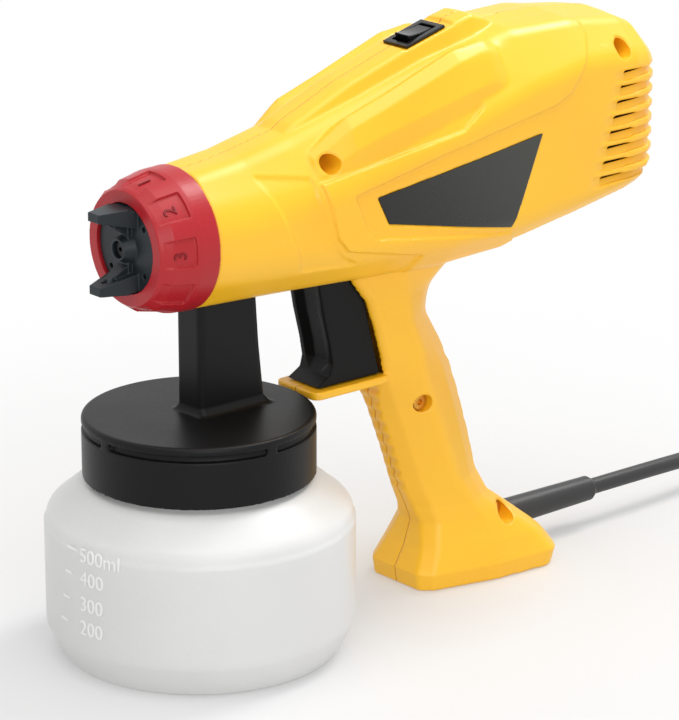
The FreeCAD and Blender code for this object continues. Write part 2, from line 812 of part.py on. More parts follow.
def housing_halves():
    """Both halves of the housing: the left one with the screw recesses, the right one with pilot holes."""
    wall = size("shell_wall")
    side = body_form()
    raised = prism(FRAME).common(sunk(side, -size("frame_rise")))
    facet = prism(FACET).cut(sunk(side, size("facet_depth")))
    outside = side.cut(facet).fuse([raised, ridge_form(), grip_form(), spine_form()])
    outside = outside.cut([underside_cut(), foot_line()] + grip_ribs())
    inside = body_form(wall).cut(underside_cut(wall)).fuse(grip_form(wall))
    shell = outside.cut(inside).fuse([ledge_form(wall)] + [
        rod(size("screw_boss_radius"), 60.0, place["place"], 0, place["rise"]).common(outside)
        for place in screw_places()])
    shell = shell.cut(housing_openings())
    recess = prism(PLATE, size("plate_gap")).cut(sunk(side, size("plate_thickness") + size("plate_gap")))
    left = shell.cut([recess] + [hole for place in screw_places() for hole in screw_way(place, outside)])
    depth = size("screw_length") - size("screw_seat") + 1.0
    pilots = [rod(size("screw_radius"), depth, place["place"], -1.0, place["rise"]) for place in screw_places()]
    right = shell.cut(pilots).mirror(Vector(), Vector(0, 1, 0))
    return left, right


def ridge_form():
    """Half of the pair of ridges that run beside the spine to the switch."""
    base = size("ridge_base")
    wires = []
    for x, *edges in RIDGE:
        corners = [Vector(x, y, z) for y, z in edges]
        low = min(corner.z for corner in corners) - base
        corners += [Vector(x, corners[-1].y, low), Vector(x, corners[0].y, low)]
        wires.append(Part.makePolygon(corners + corners[:1]))
    return Part.makeLoft(wires, True, True)


def grip_edge(key, z):
    """Place of the front or the rear of the handle at a height."""
    rows = [section("grip", GRIP_KEYS, station) for station in GRIP]
    for upper, lower in zip(rows, rows[1:]):
        if lower["level"] <= z <= upper["level"]:
            share = (upper["level"] - z) / (upper["level"] - lower["level"])
            return upper[key] * (1 - share) + lower[key] * share


def grip_ribs():
    """Hollows for the fingers on the front of the handle and shallower ones down its back."""
    hollows = []
    for name, key, way in (("rib", "front", 1.0), ("scallop", "rear", -1.0)):
        radius = size(name + "_radius")
        for number in range(int(size(name + "_count"))):
            z = size(name + "_first") - number * size(name + "_pitch")
            x = grip_edge(key, z) + way * (radius - size(name + "_depth"))
            hollows.append(rod(radius, 30.0, x, 0, z))
    return hollows


def foot_line():
    """Fine groove round the foot of the handle."""
    line = slab(120.0, size("foot_line_width"), size("foot_line_place") + 40.0,
                size("foot_line_rise") - 40.0 * math.tan(math.radians(size("foot_line_slope"))),
                size("foot_line_slope"))
    return line.cut(grip_form(size("foot_line_depth")))


def prism(outline, margin=0.0):
    """Outline in the side view, carried across the left side."""
    corners = [Vector(x, 9.0, z) for x, z in outline]
    face = Part.Face(Part.makePolygon(corners + corners[:1]))
    if margin:
        face = Part.Face(face.OuterWire.makeOffset2D(margin, 2))
    return face.extrude(Vector(0, 46.0, 0))


def sunk(side, depth):
    """Copy of the left side moved in from its surface by a depth."""
    inner = side.copy()
    inner.translate(Vector(0, -depth, 0))
    return inner


def ledge_form(wall):
    """Half of the ledge that sticks out of the handle under the trigger."""
    front, half = size("ledge_front"), size("ledge_half")
    length = front - section("grip", GRIP_KEYS, "palm")["front"] + wall
    ledge = Part.makeBox(length, half, size("ledge_thickness"),
                         Vector(front - length, 0, size("ledge_top") - size("ledge_thickness")))
    corner = [edge for edge in ledge.Edges if abs(edge.CenterOfMass.x - front) < 1e-6
              and abs(edge.CenterOfMass.y - half) < 1e-6]
    return ledge.makeFillet(4.0, corner)


def screw_places():
    return [section("screw", PLACE_KEYS, name) for name in SCREWS]


def screw_way(place, outside):
    """Recess for the head of one screw and the clear hole under it, in the left half."""
    x, z = place["place"], place["rise"]
    half = surface_half(outside, x, z)
    return [rod(size("screw_recess_radius"), half, x, size("screw_seat"), z),
            rod(size("screw_radius") + 0.2, half, x, -1.0, z)]


def surface_half(form, x, z):
    """Half width of the housing on a line along Y."""
    probe = Part.makeLine(Vector(x, 0, z), Vector(x, 60, z)).common(form)
    return probe.BoundBox.YMax


def housing_openings():
    """Everything that is cut through both halves of the housing."""
    gap = size("shell_gap")
    palm = section("grip", GRIP_KEYS, "palm")
    trigger_side = size("trigger_half") + gap + 0.25
    mouth = Part.makeBox(45.0, trigger_side + 5.0, 146.0 - size("ledge_top"),
                         Vector(palm["front"] - 12.0, -5.0, size("ledge_top")))
    pillar_side = size("pillar_half") + gap
    pillar_rear = size("pillar_rear_top") - 1.0
    pillar = Part.makeBox(size("pillar_front") + 3.0 - pillar_rear, pillar_side + 5.0, 22.0,
                          Vector(pillar_rear, -5.0, 132.0))
    switch = Part.makeBox(size("switch_body_length") + 0.6, size("switch_body_width") / 2 + 5.3, 30.0,
                          Vector(-size("switch_body_length") / 2 - 0.3, -5.0, -20.0))
    switch.rotate(Vector(), Vector(0, 1, 0), size("switch_slope"))
    switch.translate(Vector(size("switch_place"), 0, size("switch_rise")))
    seat = Part.makeBox(size("switch_length") + 6.0, size("switch_width") / 2 + 6.2, 30.0,
                        Vector(-size("switch_length") / 2 - 4.0, -5.0, 0.0))
    seat.rotate(Vector(), Vector(0, 1, 0), size("switch_slope"))
    seat.translate(Vector(size("switch_place"), 0, size("switch_rise")))
    cord = rod(size("boot_root_radius") + gap, 40.0, size("boot_root") - 20.0, 0, size("cord_rise"),
               Vector(1, 0, 0))
    return [mouth, pillar, switch, seat, cord, hatch_form(size("hatch_gap"), True)] + louvres()


def louvres():
    """Slots of the air intake, which run round both corners of the tail and leave a post in the middle."""
    count = int(size("louvre_count"))
    side = section("body", BODY_KEYS, "tail")["half"] + 0.3
    ramp_reach, ramp_depth, ramp_rim = size("ramp_reach"), size("ramp_depth"), size("ramp_rim")
    slots = []
    for number in range(count):
        share = number / (count - 1)
        front = size("louvre_front_top") * (1 - share) + size("louvre_front_low") * share
        z = size("louvre_top") - number * size("louvre_pitch")
        height = size("louvre_height")
        slots.append(Part.makeBox(front + 240.0, 60.0, height,
                                  Vector(-240.0, size("louvre_post_half"), z - height / 2)))
        low = z - height / 2 - ramp_rim
        ramp = [Vector(front + ramp_reach, side, low), Vector(front + ramp_reach, side + 6.0, low),
                Vector(front - 12.0, side + 6.0, low), Vector(front - 12.0, side - ramp_depth, low),
                Vector(front, side - ramp_depth, low)]
        face = Part.Face(Part.makePolygon(ramp + ramp[:1]))
        slots.append(face.extrude(Vector(0, 0, height + 2 * ramp_rim)))
    return slots


def hatch_form(margin=0.0, tall=False):
    """Filter cover in the underside: a plate along the sloping keel, or the hole for it."""
    wall = size("hatch_wall")
    length = size("hatch_front") - size("hatch_rear") + 2 * margin
    lead = (size("step_place") - size("hatch_front") - margin) / math.cos(math.radians(size("keel_slope")))
    half = size("hatch_half") + margin
    height = wall + 6.0 if tall else wall
    low = -3.0 if tall else 0.0
    box = Part.makeBox(length, 2 * half, height, Vector(-length - lead, -half, low))
    box.rotate(Vector(), Vector(0, 1, 0), size("keel_slope"))
    box.translate(Vector(size("step_place"), 0, 146.4))
    return box


def pillar_form():
    """Pillar between the lid and the gun, a rounded box section that flares where it meets the lid."""
    wires = []
    flare = size("pillar_flare")
    top, low = size("pillar_top"), size("lid_top")
    levels = [(low - 1.5, flare), (low, flare), (low + 0.3 * flare, 0.45 * flare),
              (low + flare, 0.0), (low + 14.0, 0.0), (0.5 * (low + top), 0.0), (top, 0.0)]
    for z, spread in levels:
        share = max(0.0, min(1.0, (z - low) / (top - 9.0 - low)))
        rear = size("pillar_rear_low") * (1 - share) + size("pillar_rear_top") * share - spread
        front = size("pillar_front") + spread * 0.4
        half = size("pillar_half") + spread
        wires.append(rounded_box(rear, front, half, size("pillar_round"), z))
    return Part.makeLoft(wires, True, True)


def rounded_box(rear, front, half, radius, z):
    """Level rectangle with rounded corners, as one wire."""
    corners = [Vector(0.5 * (rear + front), -half, z), Vector(front, -half, z), Vector(front, half, z),
               Vector(rear, half, z), Vector(rear, -half, z), Vector(0.5 * (rear + front), -half, z)]
    return Part.Wire(rounded_chain(corners, [radius] * 4))


def make_lid():
    """Lid with its pillar, the paint channel and the air channel."""
    shell = make_lid_shell()
    pillar = plain("pillar_form", pillar_form())
    whole = joined("lid_whole", [shell, pillar])
    feed = primitive("Cylinder", "feed_channel", Radius="feed_bore", Height="pillar_top",
                     Placement__Base__x="feed_place", Placement__Base__z="lid_top - lid_plate - 1")
    vent = primitive("Cylinder", "vent_channel", Radius="vent_bore", Height="pillar_top",
                     Placement__Base__x="vent_place", Placement__Base__z="lid_top - lid_plate - 1")
    return cut_from("cup_lid", whole, joined("lid_channels", [feed, vent]))


def make_cup_seal():
    """Flat gasket between the rim of the cup and the plate of the lid."""
    body = new_body("cup_seal")
    turned(body, [
        ("seal_inner", "lid_top - lid_plate"),
        ("seal_outer", "lid_top - lid_plate"),
        ("seal_outer", "cup_rim_rise + seal_gap"),
        ("seal_inner", "cup_rim_rise + seal_gap"),
    ], "V")
    return body


def bent_path(points):
    """Straight runs joined by tangent arcs, each as large as its two runs allow; with the arcs' radii."""
    edges, radii = [], []
    here = points[0]
    for before, corner, after in zip(points, points[1:], points[2:]):
        into, out = corner - before, after - corner
        shorter = min(into.Length, out.Length)
        into.normalize()
        out.normalize()
        turn = into.getAngle(out)
        reach = 0.45 * shorter
        radius = reach / math.tan(turn / 2)
        start, end = corner - into * reach, corner + out * reach
        middle = corner + (out - into).normalize() * (radius / math.cos(turn / 2) - radius)
        edges += [Part.LineSegment(here, start).toShape(), Part.Arc(start, middle, end).toShape()]
        radii.append(radius)
        here = end
    edges.append(Part.LineSegment(here, points[-1]).toShape())
    return Part.Wire(edges), radii


def swept(path, radius):
    """Solid of a round section along a path."""
    start = path.Edges[0]
    ring = Part.Circle(start.Vertexes[0].Point, start.tangentAt(start.FirstParameter), radius)
    shell = Part.BRepOffsetAPI.MakePipeShell(path)
    shell.add(Part.Wire([ring.toShape()]))
    shell.build()
    shell.makeSolid()
    return shell.shape()


def make_suction_tube():
    """Suction tube: straight down from the lid, then slanting to the front of the cup's floor."""
    top = Vector(size("feed_place"), 0, size("lid_top") - size("lid_plate"))
    points = [top, Vector(top.x, 0, size("suction_bend_rise")),
              Vector(size("suction_end_place"), 0, size("suction_end_rise"))]
    path, _ = bent_path(points)
    tube = swept(path, size("suction_outer")).cut(swept(path, size("suction_bore")))
    return plain("suction_tube", tube)


def make_vent_valve():
    """Rubber duckbill under the lid, where the air line enters the cup."""
    body = new_body("vent_valve", x="vent_place", z="lid_top - lid_plate")
    turned(body, [
        ("0", "0"),
        ("valve_radius", "0"),
        ("valve_radius", "0 - valve_height * 0.3"),
        ("valve_radius * 0.6", "0 - valve_height * 0.4"),
        ("valve_radius * 0.3", "0 - valve_height"),
        ("0", "0 - valve_height"),
    ], "V")
    return body


def make_nozzle_body():
    """Paint tube with its feed boss and the socket that holds the jet, the air cap and the selector ring."""
    body = new_body("nozzle_tube", z="nozzle_rise")
    bore = "needle_radius + needle_fit"
    turned(body, [
        ("hub_rear", bore),
        ("hub_rear", "hub_radius"),
        ("socket_rear", "hub_radius"),
        ("socket_rear", "socket_radius"),
        ("socket_front", "socket_radius"),
        ("socket_front", "socket_radius - socket_wall"),
        ("socket_rear + web_thickness", "socket_radius - socket_wall"),
        ("socket_rear + web_thickness", "hub_radius"),
        ("hub_front", "hub_radius"),
        ("hub_front", bore),
    ], "H")
    holes = extruded(body, "YZ_Plane", "0 - 4 * socket_rear",
                     circles=[(("0", "web_hole_place"), "web_hole_radius")], cut=True)
    around(body, holes, "X_Axis", "web_hole_count")
    boss = primitive("Cylinder", "feed_boss", Radius="boss_radius", Height="nozzle_rise - hub_radius / 2 - pillar_top",
                     Placement__Base__x="feed_place", Placement__Base__z="pillar_top")
    way = primitive("Cylinder", "feed_boss_bore", Radius="feed_bore", Height="nozzle_rise - pillar_top",
                    Placement__Base__x="feed_place", Placement__Base__z="pillar_top")
    return cut_from("nozzle_body", joined("nozzle_with_boss", [body, boss]), way)


def make_jet():
    """Paint jet screwed into the front of the paint tube."""
    body = new_body("paint_jet", z="nozzle_rise")
    turned(body, [
        ("hub_front", "jet_bore"),
        ("hub_front", "jet_root_radius + 1.6"),
        ("hub_front + 4", "jet_root_radius + 1.6"),
        ("hub_front + 4", "jet_root_radius"),
        ("hub_front + 8", "jet_root_radius"),
        ("jet_tip_place - 6", "jet_tip_radius"),
        ("jet_tip_place", "jet_tip_radius"),
        ("jet_tip_place", "jet_orifice"),
        ("jet_tip_place - 3", "jet_bore"),
    ], "H")
    return body


def make_air_cap():
    """Air cap: a flanged disc with a raised centre, two horns that face each other and their air holes."""
    body = new_body("cap_disc")
    bore = "jet_tip_radius + cap_gap"
    turned(body, [
        ("cap_face - cap_wall", bore),
        ("cap_face - cap_wall", "cap_radius - cap_wall"),
        ("ring_front - ring_lip_thickness - ring_fit - 3", "cap_radius - cap_wall"),
        ("ring_front - ring_lip_thickness - ring_fit - 3", "cap_flange_radius"),
        ("ring_front - ring_lip_thickness - ring_fit", "cap_flange_radius"),
        ("ring_front - ring_lip_thickness - ring_fit", "cap_radius"),
        ("cap_face", "cap_radius"),
        ("cap_face", "cap_boss_radius"),
        ("cap_boss_place", "cap_boss_radius - 2"),
        ("cap_boss_place", bore),
    ], "H")
    holes = extruded(body, "YZ_Plane", "cap_boss_place * 3",
                     circles=[((across, rise), "face_hole_radius")
                              for across in ("face_hole_across", "0 - face_hole_across")
                              for rise in ("face_hole_rise", "0 - face_hole_rise")], cut=True)
    body.Tip = holes
    ridge = primitive("Box", "cap_ridge", Length="ridge_rise + 1", Width="2 * ridge_half",
                      Height="2 * horn_inner_root + 2", Placement__Base__x="cap_face - 1",
                      Placement__Base__y="0 - ridge_half", Placement__Base__z="0 - horn_inner_root - 1")
    orifice = primitive("Cylinder", "cap_orifice", Radius="jet_tip_radius + cap_gap", Height="cap_boss_place")
    orifice.Placement = Placement(Vector(), Rotation(Vector(0, 1, 0), 90))
    horns = []
    for name, turn in (("horn_top", 0.0), ("horn_low", 180.0)):
        horn = primitive("Wedge", name,
                         Ymin="cap_face - 1", Ymax="horn_tip_place",
                         Xmin="0 - horn_half_root", Xmax="horn_half_root",
                         X2min="0 - horn_half_tip", X2max="horn_half_tip",
                         Zmin="horn_inner_root", Zmax="horn_outer_root",
                         Z2min="horn_inner_tip", Z2max="horn_outer_tip")
        horn.Placement = Placement(Vector(), Rotation(Vector(1, 0, 0), turn) * Rotation(Vector(0, 0, 1), -90))
        gusset = primitive("Wedge", name + "_gusset",
                           Ymin="cap_face - 1", Ymax="gusset_place",
                           Xmin="0 - ridge_half", Xmax="ridge_half",
                           X2min="1 - ridge_half", X2max="ridge_half - 1",
                           Zmin="cap_boss_radius - 2", Zmax="horn_outer_root - 1",
                           Z2min="horn_inner_tip - 1.6", Z2max="horn_outer_root - 2")
        gusset.Placement = horn.Placement
        middle = 0.5 * (size("cap_face") + size("horn_tip_place"))
        drills = []
        for number, across in enumerate((0.0, 1.0, -1.0)):
            radius = "horn_side_hole_radius" if number else "horn_hole_radius"
            drill = primitive("Cylinder", "%s_hole_%d" % (name, number), Radius=radius, Height="9")
            place = Vector(middle + (0.4 if number else 3.0), across * size("horn_side_hole_place"),
                           size("horn_inner_root") - 3.0)
            drill.Placement = Placement(Vector(), Rotation(Vector(1, 0, 0), turn)) * Placement(place, Rotation())
            drills.append(drill)
        whole = joined(name + "_with_gusset", [horn, gusset])
        horns.append(cut_from(name + "_drilled", whole, joined(name + "_holes", drills)))
    seat = "ring_front - ring_lip_thickness - ring_fit"
    around_rim = cut_from("cap_rim", primitive("Cylinder", "cap_rim_outside", Radius="2 * cap_radius", Height="5"),
                          primitive("Cylinder", "cap_rim_inside", Radius="cap_radius", Height="5"))
    around_rim.Placement = Placement(Vector(), Rotation(Vector(0, 1, 0), 90))
    bind(around_rim, Placement__Base__x=seat)
    cap = cut_from("air_cap", joined("cap_whole", [body, ridge] + horns), joined("cap_trims", [orifice, around_rim]))
    bind(cap, Placement__Base__z="nozzle_rise")
    return cap


def make_selector_ring():
    """Red union ring: a plain band at the back, a cone with nine grip hollows and a rolled front lip."""
    body = new_body("selector_ring")
    inner = "socket_radius + ring_fit"
    turned(body, [
        ("ring_rear", inner),
        ("ring_rear", "ring_rear_radius"),
        ("ring_band_end", "ring_rear_radius - 0.4"),
        ("ring_front - 5", "ring_front_radius + 1.4"),
        ("ring_front - 1.2", "ring_front_radius - 1.2"),
        ("ring_front", "ring_lip_radius"),
        ("ring_front", "ring_lip_bore"),
        ("ring_front - ring_lip_thickness", "ring_lip_bore"),
        ("ring_front - ring_lip_thickness", "cap_flange_radius + ring_fit"),
        ("socket_front + ring_fit", "cap_flange_radius + ring_fit"),
        ("socket_front + ring_fit", inner),
    ], "H")
    grip = turned(body, [
        ("ring_grip_rear", "ring_rear_radius + 2"),
        ("ring_grip_rear", "ring_rear_radius - 0.8 - ring_grip_depth"),
        ("ring_front - 5", "ring_front_radius + 1.4 - ring_grip_depth"),
        ("ring_front - 1.5", "ring_front_radius - 1.1"),
        ("ring_front - 1.5", "ring_rear_radius + 2"),
    ], "H", angle="ring_grip_angle", cut=True)
    around(body, grip, "X_Axis", "ring_grip_count")
    body.Placement = Placement(Vector(), Rotation(Vector(1, 0, 0), -size("ring_grip_turn")))
    bind(body, Placement__Base__z="nozzle_rise")
    return body


def make_ring_seal():
    """Flat seal between the selector ring and the front of the housing."""
    body = new_body("ring_seal", z="nozzle_rise")
    turned(body, [
        ("ring_rear - ring_fit - 2 * ring_seal_half", "socket_radius"),
        ("ring_rear - ring_fit - 2 * ring_seal_half", "ring_rear_radius - 1.4"),
        ("ring_rear - ring_fit", "ring_rear_radius - 1.4"),
        ("ring_rear - ring_fit", "socket_radius"),
    ], "H")
    return body


def make_housing():
    left, right = housing_halves()
    return [plain("housing_left", left), plain("housing_right", right)]


def make_screws():
    """Self tapping screws in the left half, one solid each."""
    solids = []
    for place in screw_places():
        head = rod(size("screw_head_radius"), size("screw_head_height"), place["place"], size("screw_seat"),
                   place["rise"])
        shank = rod(size("screw_radius") - 0.1, size("screw_length"), place["place"],
                    size("screw_seat") - size("screw_length"), place["rise"])
        drive = rod(1.3, 1.4, place["place"], size("screw_seat") + size("screw_head_height") - 1.2, place["rise"])
        solids.append(head.fuse(shank).cut(drive))
    return plain("housing_screws", Part.makeCompound(solids))


def make_side_plate():
    """Bare dark plate let into the left side, flush with the drafted surface round it."""
    side = body_form()
    return plain("side_plate", prism(PLATE).common(side).cut(sunk(side, size("plate_thickness"))))


def make_duct():
    """Air duct round the paint tube, notched for the feed boss, with holes in its rear wall."""
    body = new_body("duct_can", z="nozzle_rise")
    turned(body, [
        ("hub_rear", "hub_radius + 0.05"),
        ("hub_rear", "duct_radius + duct_wall"),
        ("duct_front", "duct_radius + duct_wall"),
        ("duct_front", "duct_radius"),
        ("hub_rear + duct_wall", "duct_radius"),
        ("hub_rear + duct_wall", "hub_radius + 0.05"),
    ], "H")
    holes = extruded(body, "YZ_Plane", "4 - 2 * hub_rear",
                     circles=[(("0", "0 - web_hole_place"), "web_hole_radius")], cut=True)
    around(body, holes, "X_Axis", "web_hole_count - 1")
    notch = primitive("Box", "duct_notch", Length="duct_front - feed_place + boss_radius + 1", Width="2 * boss_radius + 0.6",
                      Height="duct_radius + 4", Placement__Base__x="feed_place - boss_radius - 0.3",
                      Placement__Base__y="0 - boss_radius - 0.3",
                      Placement__Base__z="nozzle_rise - duct_radius - 4")
    return cut_from("air_duct", body, notch)


def make_needle():
    """Needle that closes the jet, with the collar that the trigger pulls."""
    body = new_body("needle", z="nozzle_rise")
    turned(body, [
        ("needle_tail", "0"),
        ("needle_tail", "needle_radius"),
        ("needle_collar_place - 3", "needle_radius"),
        ("needle_collar_place - 3", "needle_collar_radius"),
        ("needle_collar_place", "needle_collar_radius"),
        ("needle_collar_place", "needle_radius"),
        ("jet_tip_place - 7", "needle_radius"),
        ("jet_tip_place - 1", "0.35"),
        ("jet_tip_place - 1", "0"),
    ], "H")
    return body


def make_packing():
    """Packing nut that seals the needle at the back of the paint tube."""
    body = new_body("needle_packing", z="nozzle_rise")
    bore = "needle_radius + needle_fit"
    turned(body, [
        ("hub_rear - 5", bore),
        ("hub_rear - 5", "hub_radius - 3"),
        ("hub_rear", "hub_radius - 1"),
        ("hub_rear", bore),
    ], "H")
    return body


def make_needle_guide():
    """Plate across the housing that guides the tail of the needle and backs its spring."""
    body = new_body("needle_guide", x="spring_end - guide_thickness / 2", z="nozzle_rise")
    extruded(body, "YZ_Plane", "guide_thickness", corners=[
        ("guide_half", "guide_top"),
        ("0 - guide_half", "guide_top"),
        ("0 - guide_half", "0 - guide_low"),
        ("guide_half", "0 - guide_low"),
    ])
    extruded(body, "YZ_Plane", "guide_thickness * 2", circles=[(("0", "0"), "needle_radius + needle_fit")], cut=True)
    return body


def make_spring():
    """Spring that shuts the needle, wound round its tail."""
    start = size("needle_collar_place") - 3.0 - size("spring_wire") - 0.05
    length = start - size("spring_end") - size("spring_wire") - 0.05
    radius, turns = size("spring_radius"), int(size("spring_turns"))
    count = turns * 4
    points = []
    for number in range(count + 1):
        angle = 2 * math.pi * turns * number / count
        points.append(Vector(-length * number / count, radius * math.cos(angle), radius * math.sin(angle)))
    pitch = length / turns
    tangents = []
    for number in range(count + 1):
        angle = 2 * math.pi * turns * number / count
        tangents.append(Vector(-pitch / (2 * math.pi), -radius * math.sin(angle),
                               radius * math.cos(angle)).normalize())
    path = Part.Wire([edge for ends in zip(points, tangents, points[1:], tangents[1:]) for edge in biarc(*ends)])
    piece = plain("needle_spring", swept(path, size("spring_wire")))
    piece.Placement = Placement(Vector(start, 0, size("nozzle_rise")), Rotation())
    return piece


def biarc(start, leaving, end, arriving):
    """Two arcs that leave one point and reach another in given directions."""
    span = end - start
    both = leaving + arriving
    closing = 2 * (1 - leaving.dot(arriving))
    along = span.dot(both)
    if closing < 1e-9:
        reach = span.dot(span) / (4 * span.dot(arriving))
    else:
        reach = (math.sqrt(along * along + closing * span.dot(span)) - along) / closing
    near, far = start + leaving * reach, end - arriving * reach
    middle = (near + far) * 0.5
    return [tangent_arc(start, near, middle), tangent_arc(middle, far, end)]


def tangent_arc(start, corner, end):
    """Arc from one point to another whose tangents meet in the corner."""
    chord = (start + end) * 0.5
    half = (end - start).Length / 2
    rise = (corner - chord).Length
    if rise < 1e-7:
        return Part.LineSegment(start, end).toShape()
    turn = math.atan2(rise, half)
    return Part.Arc(start, chord + (corner - chord) * (math.tan(turn / 2) / math.tan(turn)), end).toShape()


def make_trigger():
    """Trigger: a curved finger face with two cheeks, hung from two arms on the pivot pin."""
    half = size("trigger_half")
    body = new_body("trigger_shell")
    outline = [
        ("ledge_front - 3.8", "ledge_top + 0.6"),
        ("ledge_front - 10.4", "ledge_top + 4.4"),
        ("ledge_front - 11.6", "ledge_top + 9"),
        ("ledge_front - 10.2", "ledge_top + 17"),
        ("ledge_front - 7", "ledge_top + 30"),
        ("ledge_front - 5", "ledge_top + 41"),
        ("ledge_front - 4.6", "ledge_top + 50"),
        ("ledge_front - 22", "ledge_top + 50"),
        ("ledge_front - 27", "ledge_top + 36"),
        ("ledge_front - 31", "ledge_top + 20"),
        ("ledge_front - 36", "ledge_top + 0.6"),
    ]
    extruded(body, "XZ_Plane", "2 * trigger_half", corners=outline)
    front = size("ledge_front")
    dressed(body, "Fillet", "0.8", lambda edge: abs(abs(edge.CenterOfMass.y) - half) < 1e-4
            and edge.CenterOfMass.x > front - 12.0)
    hollow = [
        ("ledge_front - 15", "ledge_top + 3"),
        ("ledge_front - 15.8", "ledge_top + 9"),
        ("ledge_front - 14.4", "ledge_top + 17"),
        ("ledge_front - 11.2", "ledge_top + 30"),
        ("ledge_front - 9.2", "ledge_top + 41"),
        ("ledge_front - 8.8", "ledge_top + 51"),
        ("ledge_front - 60", "ledge_top + 51"),
        ("ledge_front - 60", "ledge_top + 3"),
    ]
    extruded(body, "XZ_Plane", "2 * (trigger_half - trigger_wall)", corners=hollow, cut=True)
    parts = [body]
    for name, side in (("arm_left", 1), ("arm_right", -1)):
        arm = new_body(name)
        extruded(arm, "XZ_Plane", "trigger_arm_wall", corners=[
            ("ledge_front - 6.8", "ledge_top + 46"),
            ("pivot_place + 3.4", "nozzle_rise"),
            ("pivot_place + 4", "pivot_rise"),
            ("pivot_place - 4", "pivot_rise"),
            ("pivot_place - 4.4", "nozzle_rise"),
            ("ledge_front - 20", "ledge_top + 46"),
        ])
        arm.setExpression("Placement.Base.y", cells(
            "%d * (trigger_arm_inner + trigger_arm_wall / 2)" % side))
        eye = primitive("Cylinder", name + "_eye", Radius="trigger_eye_radius", Height="trigger_arm_wall",
                        Placement__Base__x="pivot_place", Placement__Base__z="pivot_rise")
        eye.Placement = Placement(Vector(0, 0, 0), Rotation(Vector(1, 0, 0), -90))
        bind(eye, Placement__Base__x="pivot_place", Placement__Base__z="pivot_rise",
             Placement__Base__y="%d * (trigger_arm_inner + trigger_arm_wall / 2) - trigger_arm_wall / 2" % side)
        parts += [arm, eye]
    yoke = primitive("Box", "trigger_yoke", Length="2.4", Width="2 * trigger_arm_inner + 1", Height="5",
                     Placement__Base__x="needle_collar_place + 0.1",
                     Placement__Base__y="0 - trigger_arm_inner - 0.5",
                     Placement__Base__z="nozzle_rise - needle_collar_radius - 0.5")
    parts.append(yoke)
    whole = joined("trigger_whole", parts)
    pin = primitive("Cylinder", "trigger_eye_bore", Radius="pivot_radius + pivot_fit", Height="60")
    pin.Placement = Placement(Vector(0, 30, 0), Rotation(Vector(1, 0, 0), 90))
    bind(pin, Placement__Base__x="pivot_place", Placement__Base__z="pivot_rise")
    slot = primitive("Cylinder", "needle_way", Radius="needle_radius + yoke_fit", Height="40")
    slot.Placement = Placement(Vector(0, 0, 0), Rotation(Vector(0, 1, 0), -90))
    bind(slot, Placement__Base__x="pivot_place + 6", Placement__Base__z="nozzle_rise")
    channel = plain("trigger_channel", finger_channel())
    return cut_from("trigger", whole, joined("trigger_holes", [pin, slot, channel]))


def finger_channel():
    """Shallow channel down the front of the trigger, which runs out over the lip."""
    front, top = size("ledge_front"), size("ledge_top")
    outer, inner = size("trigger_half") - 1.2, size("channel_floor_half")
    wires = []
    for x, z, depth in CHANNEL:
        corners = [Vector(front + x + 1.0, outer, top + z), Vector(front + x - depth, inner, top + z),
                   Vector(front + x - depth, -inner, top + z), Vector(front + x + 1.0, -outer, top + z)]
        wires.append(Part.makePolygon(corners + corners[:1]))
    return Part.makeLoft(wires, True, True)


def make_pivot_pin():
    pin = primitive("Cylinder", "trigger_pin", Radius="pivot_radius", Height="pivot_length")
    pin.Placement = Placement(Vector(), Rotation(Vector(1, 0, 0), 90))
    return bind(pin, Placement__Base__x="pivot_place", Placement__Base__y="pivot_length / 2",
                Placement__Base__z="pivot_rise")


def make_switch():
    """Switch body with its rim, let into the top of the housing."""
    body = new_body("switch_frame")
    extruded(body, "XY_Plane", "switch_rim", corners=centred("switch_length", "switch_width"), both=False)
    extruded(body, "XY_Plane", "switch_body_depth", corners=centred("switch_body_length", "switch_body_width"),
             both=False, reverse=True)
    extruded(body, "XY_Plane", "switch_body_depth * 1.2",
             corners=centred("switch_body_length - 2 * switch_wall", "switch_body_width - 2 * switch_wall"),
             cut=True)
    body.Placement = Placement(Vector(), Rotation(Vector(0, 1, 0), size("switch_slope")))
    return bind(body, Placement__Base__x="switch_place", Placement__Base__z="switch_rise")


def centred(length, width):
    """Corners of a rectangle about the origin."""
    return [("-(%s) / 2" % length, "-(%s) / 2" % width), ("(%s) / 2" % length, "-(%s) / 2" % width),
            ("(%s) / 2" % length, "(%s) / 2" % width), ("-(%s) / 2" % length, "(%s) / 2" % width)]


def make_rocker():
    """Rocker key: a dished top that stands up at its front end."""
    body = new_body("rocker")
    half = "switch_body_width - 2 * switch_wall - 2 * rocker_fit"
    extruded(body, "XZ_Plane", half, corners=[
        ("rocker_half_length", "1.1 + switch_rim"),
        ("rocker_half_length - 1", "1.4 + switch_rim"),
        ("rocker_half_length / 2", "0.9 + switch_rim"),
        ("0", "0.2 + switch_rim"),
        ("0 - rocker_half_length + 0.6", "0 + switch_rim"),
        ("0 - rocker_half_length", "0 - 0.8 + switch_rim"),
        ("0 - rocker_half_length + 1.4", "0 - rocker_pivot_depth - 1.6"),
        ("rocker_half_length - 1.4", "0 - rocker_pivot_depth - 1.6"),
    ])
    body.Placement = Placement(Vector(), Rotation(Vector(0, 1, 0), size("switch_slope")))
    return bind(body, Placement__Base__x="switch_place", Placement__Base__z="switch_rise")


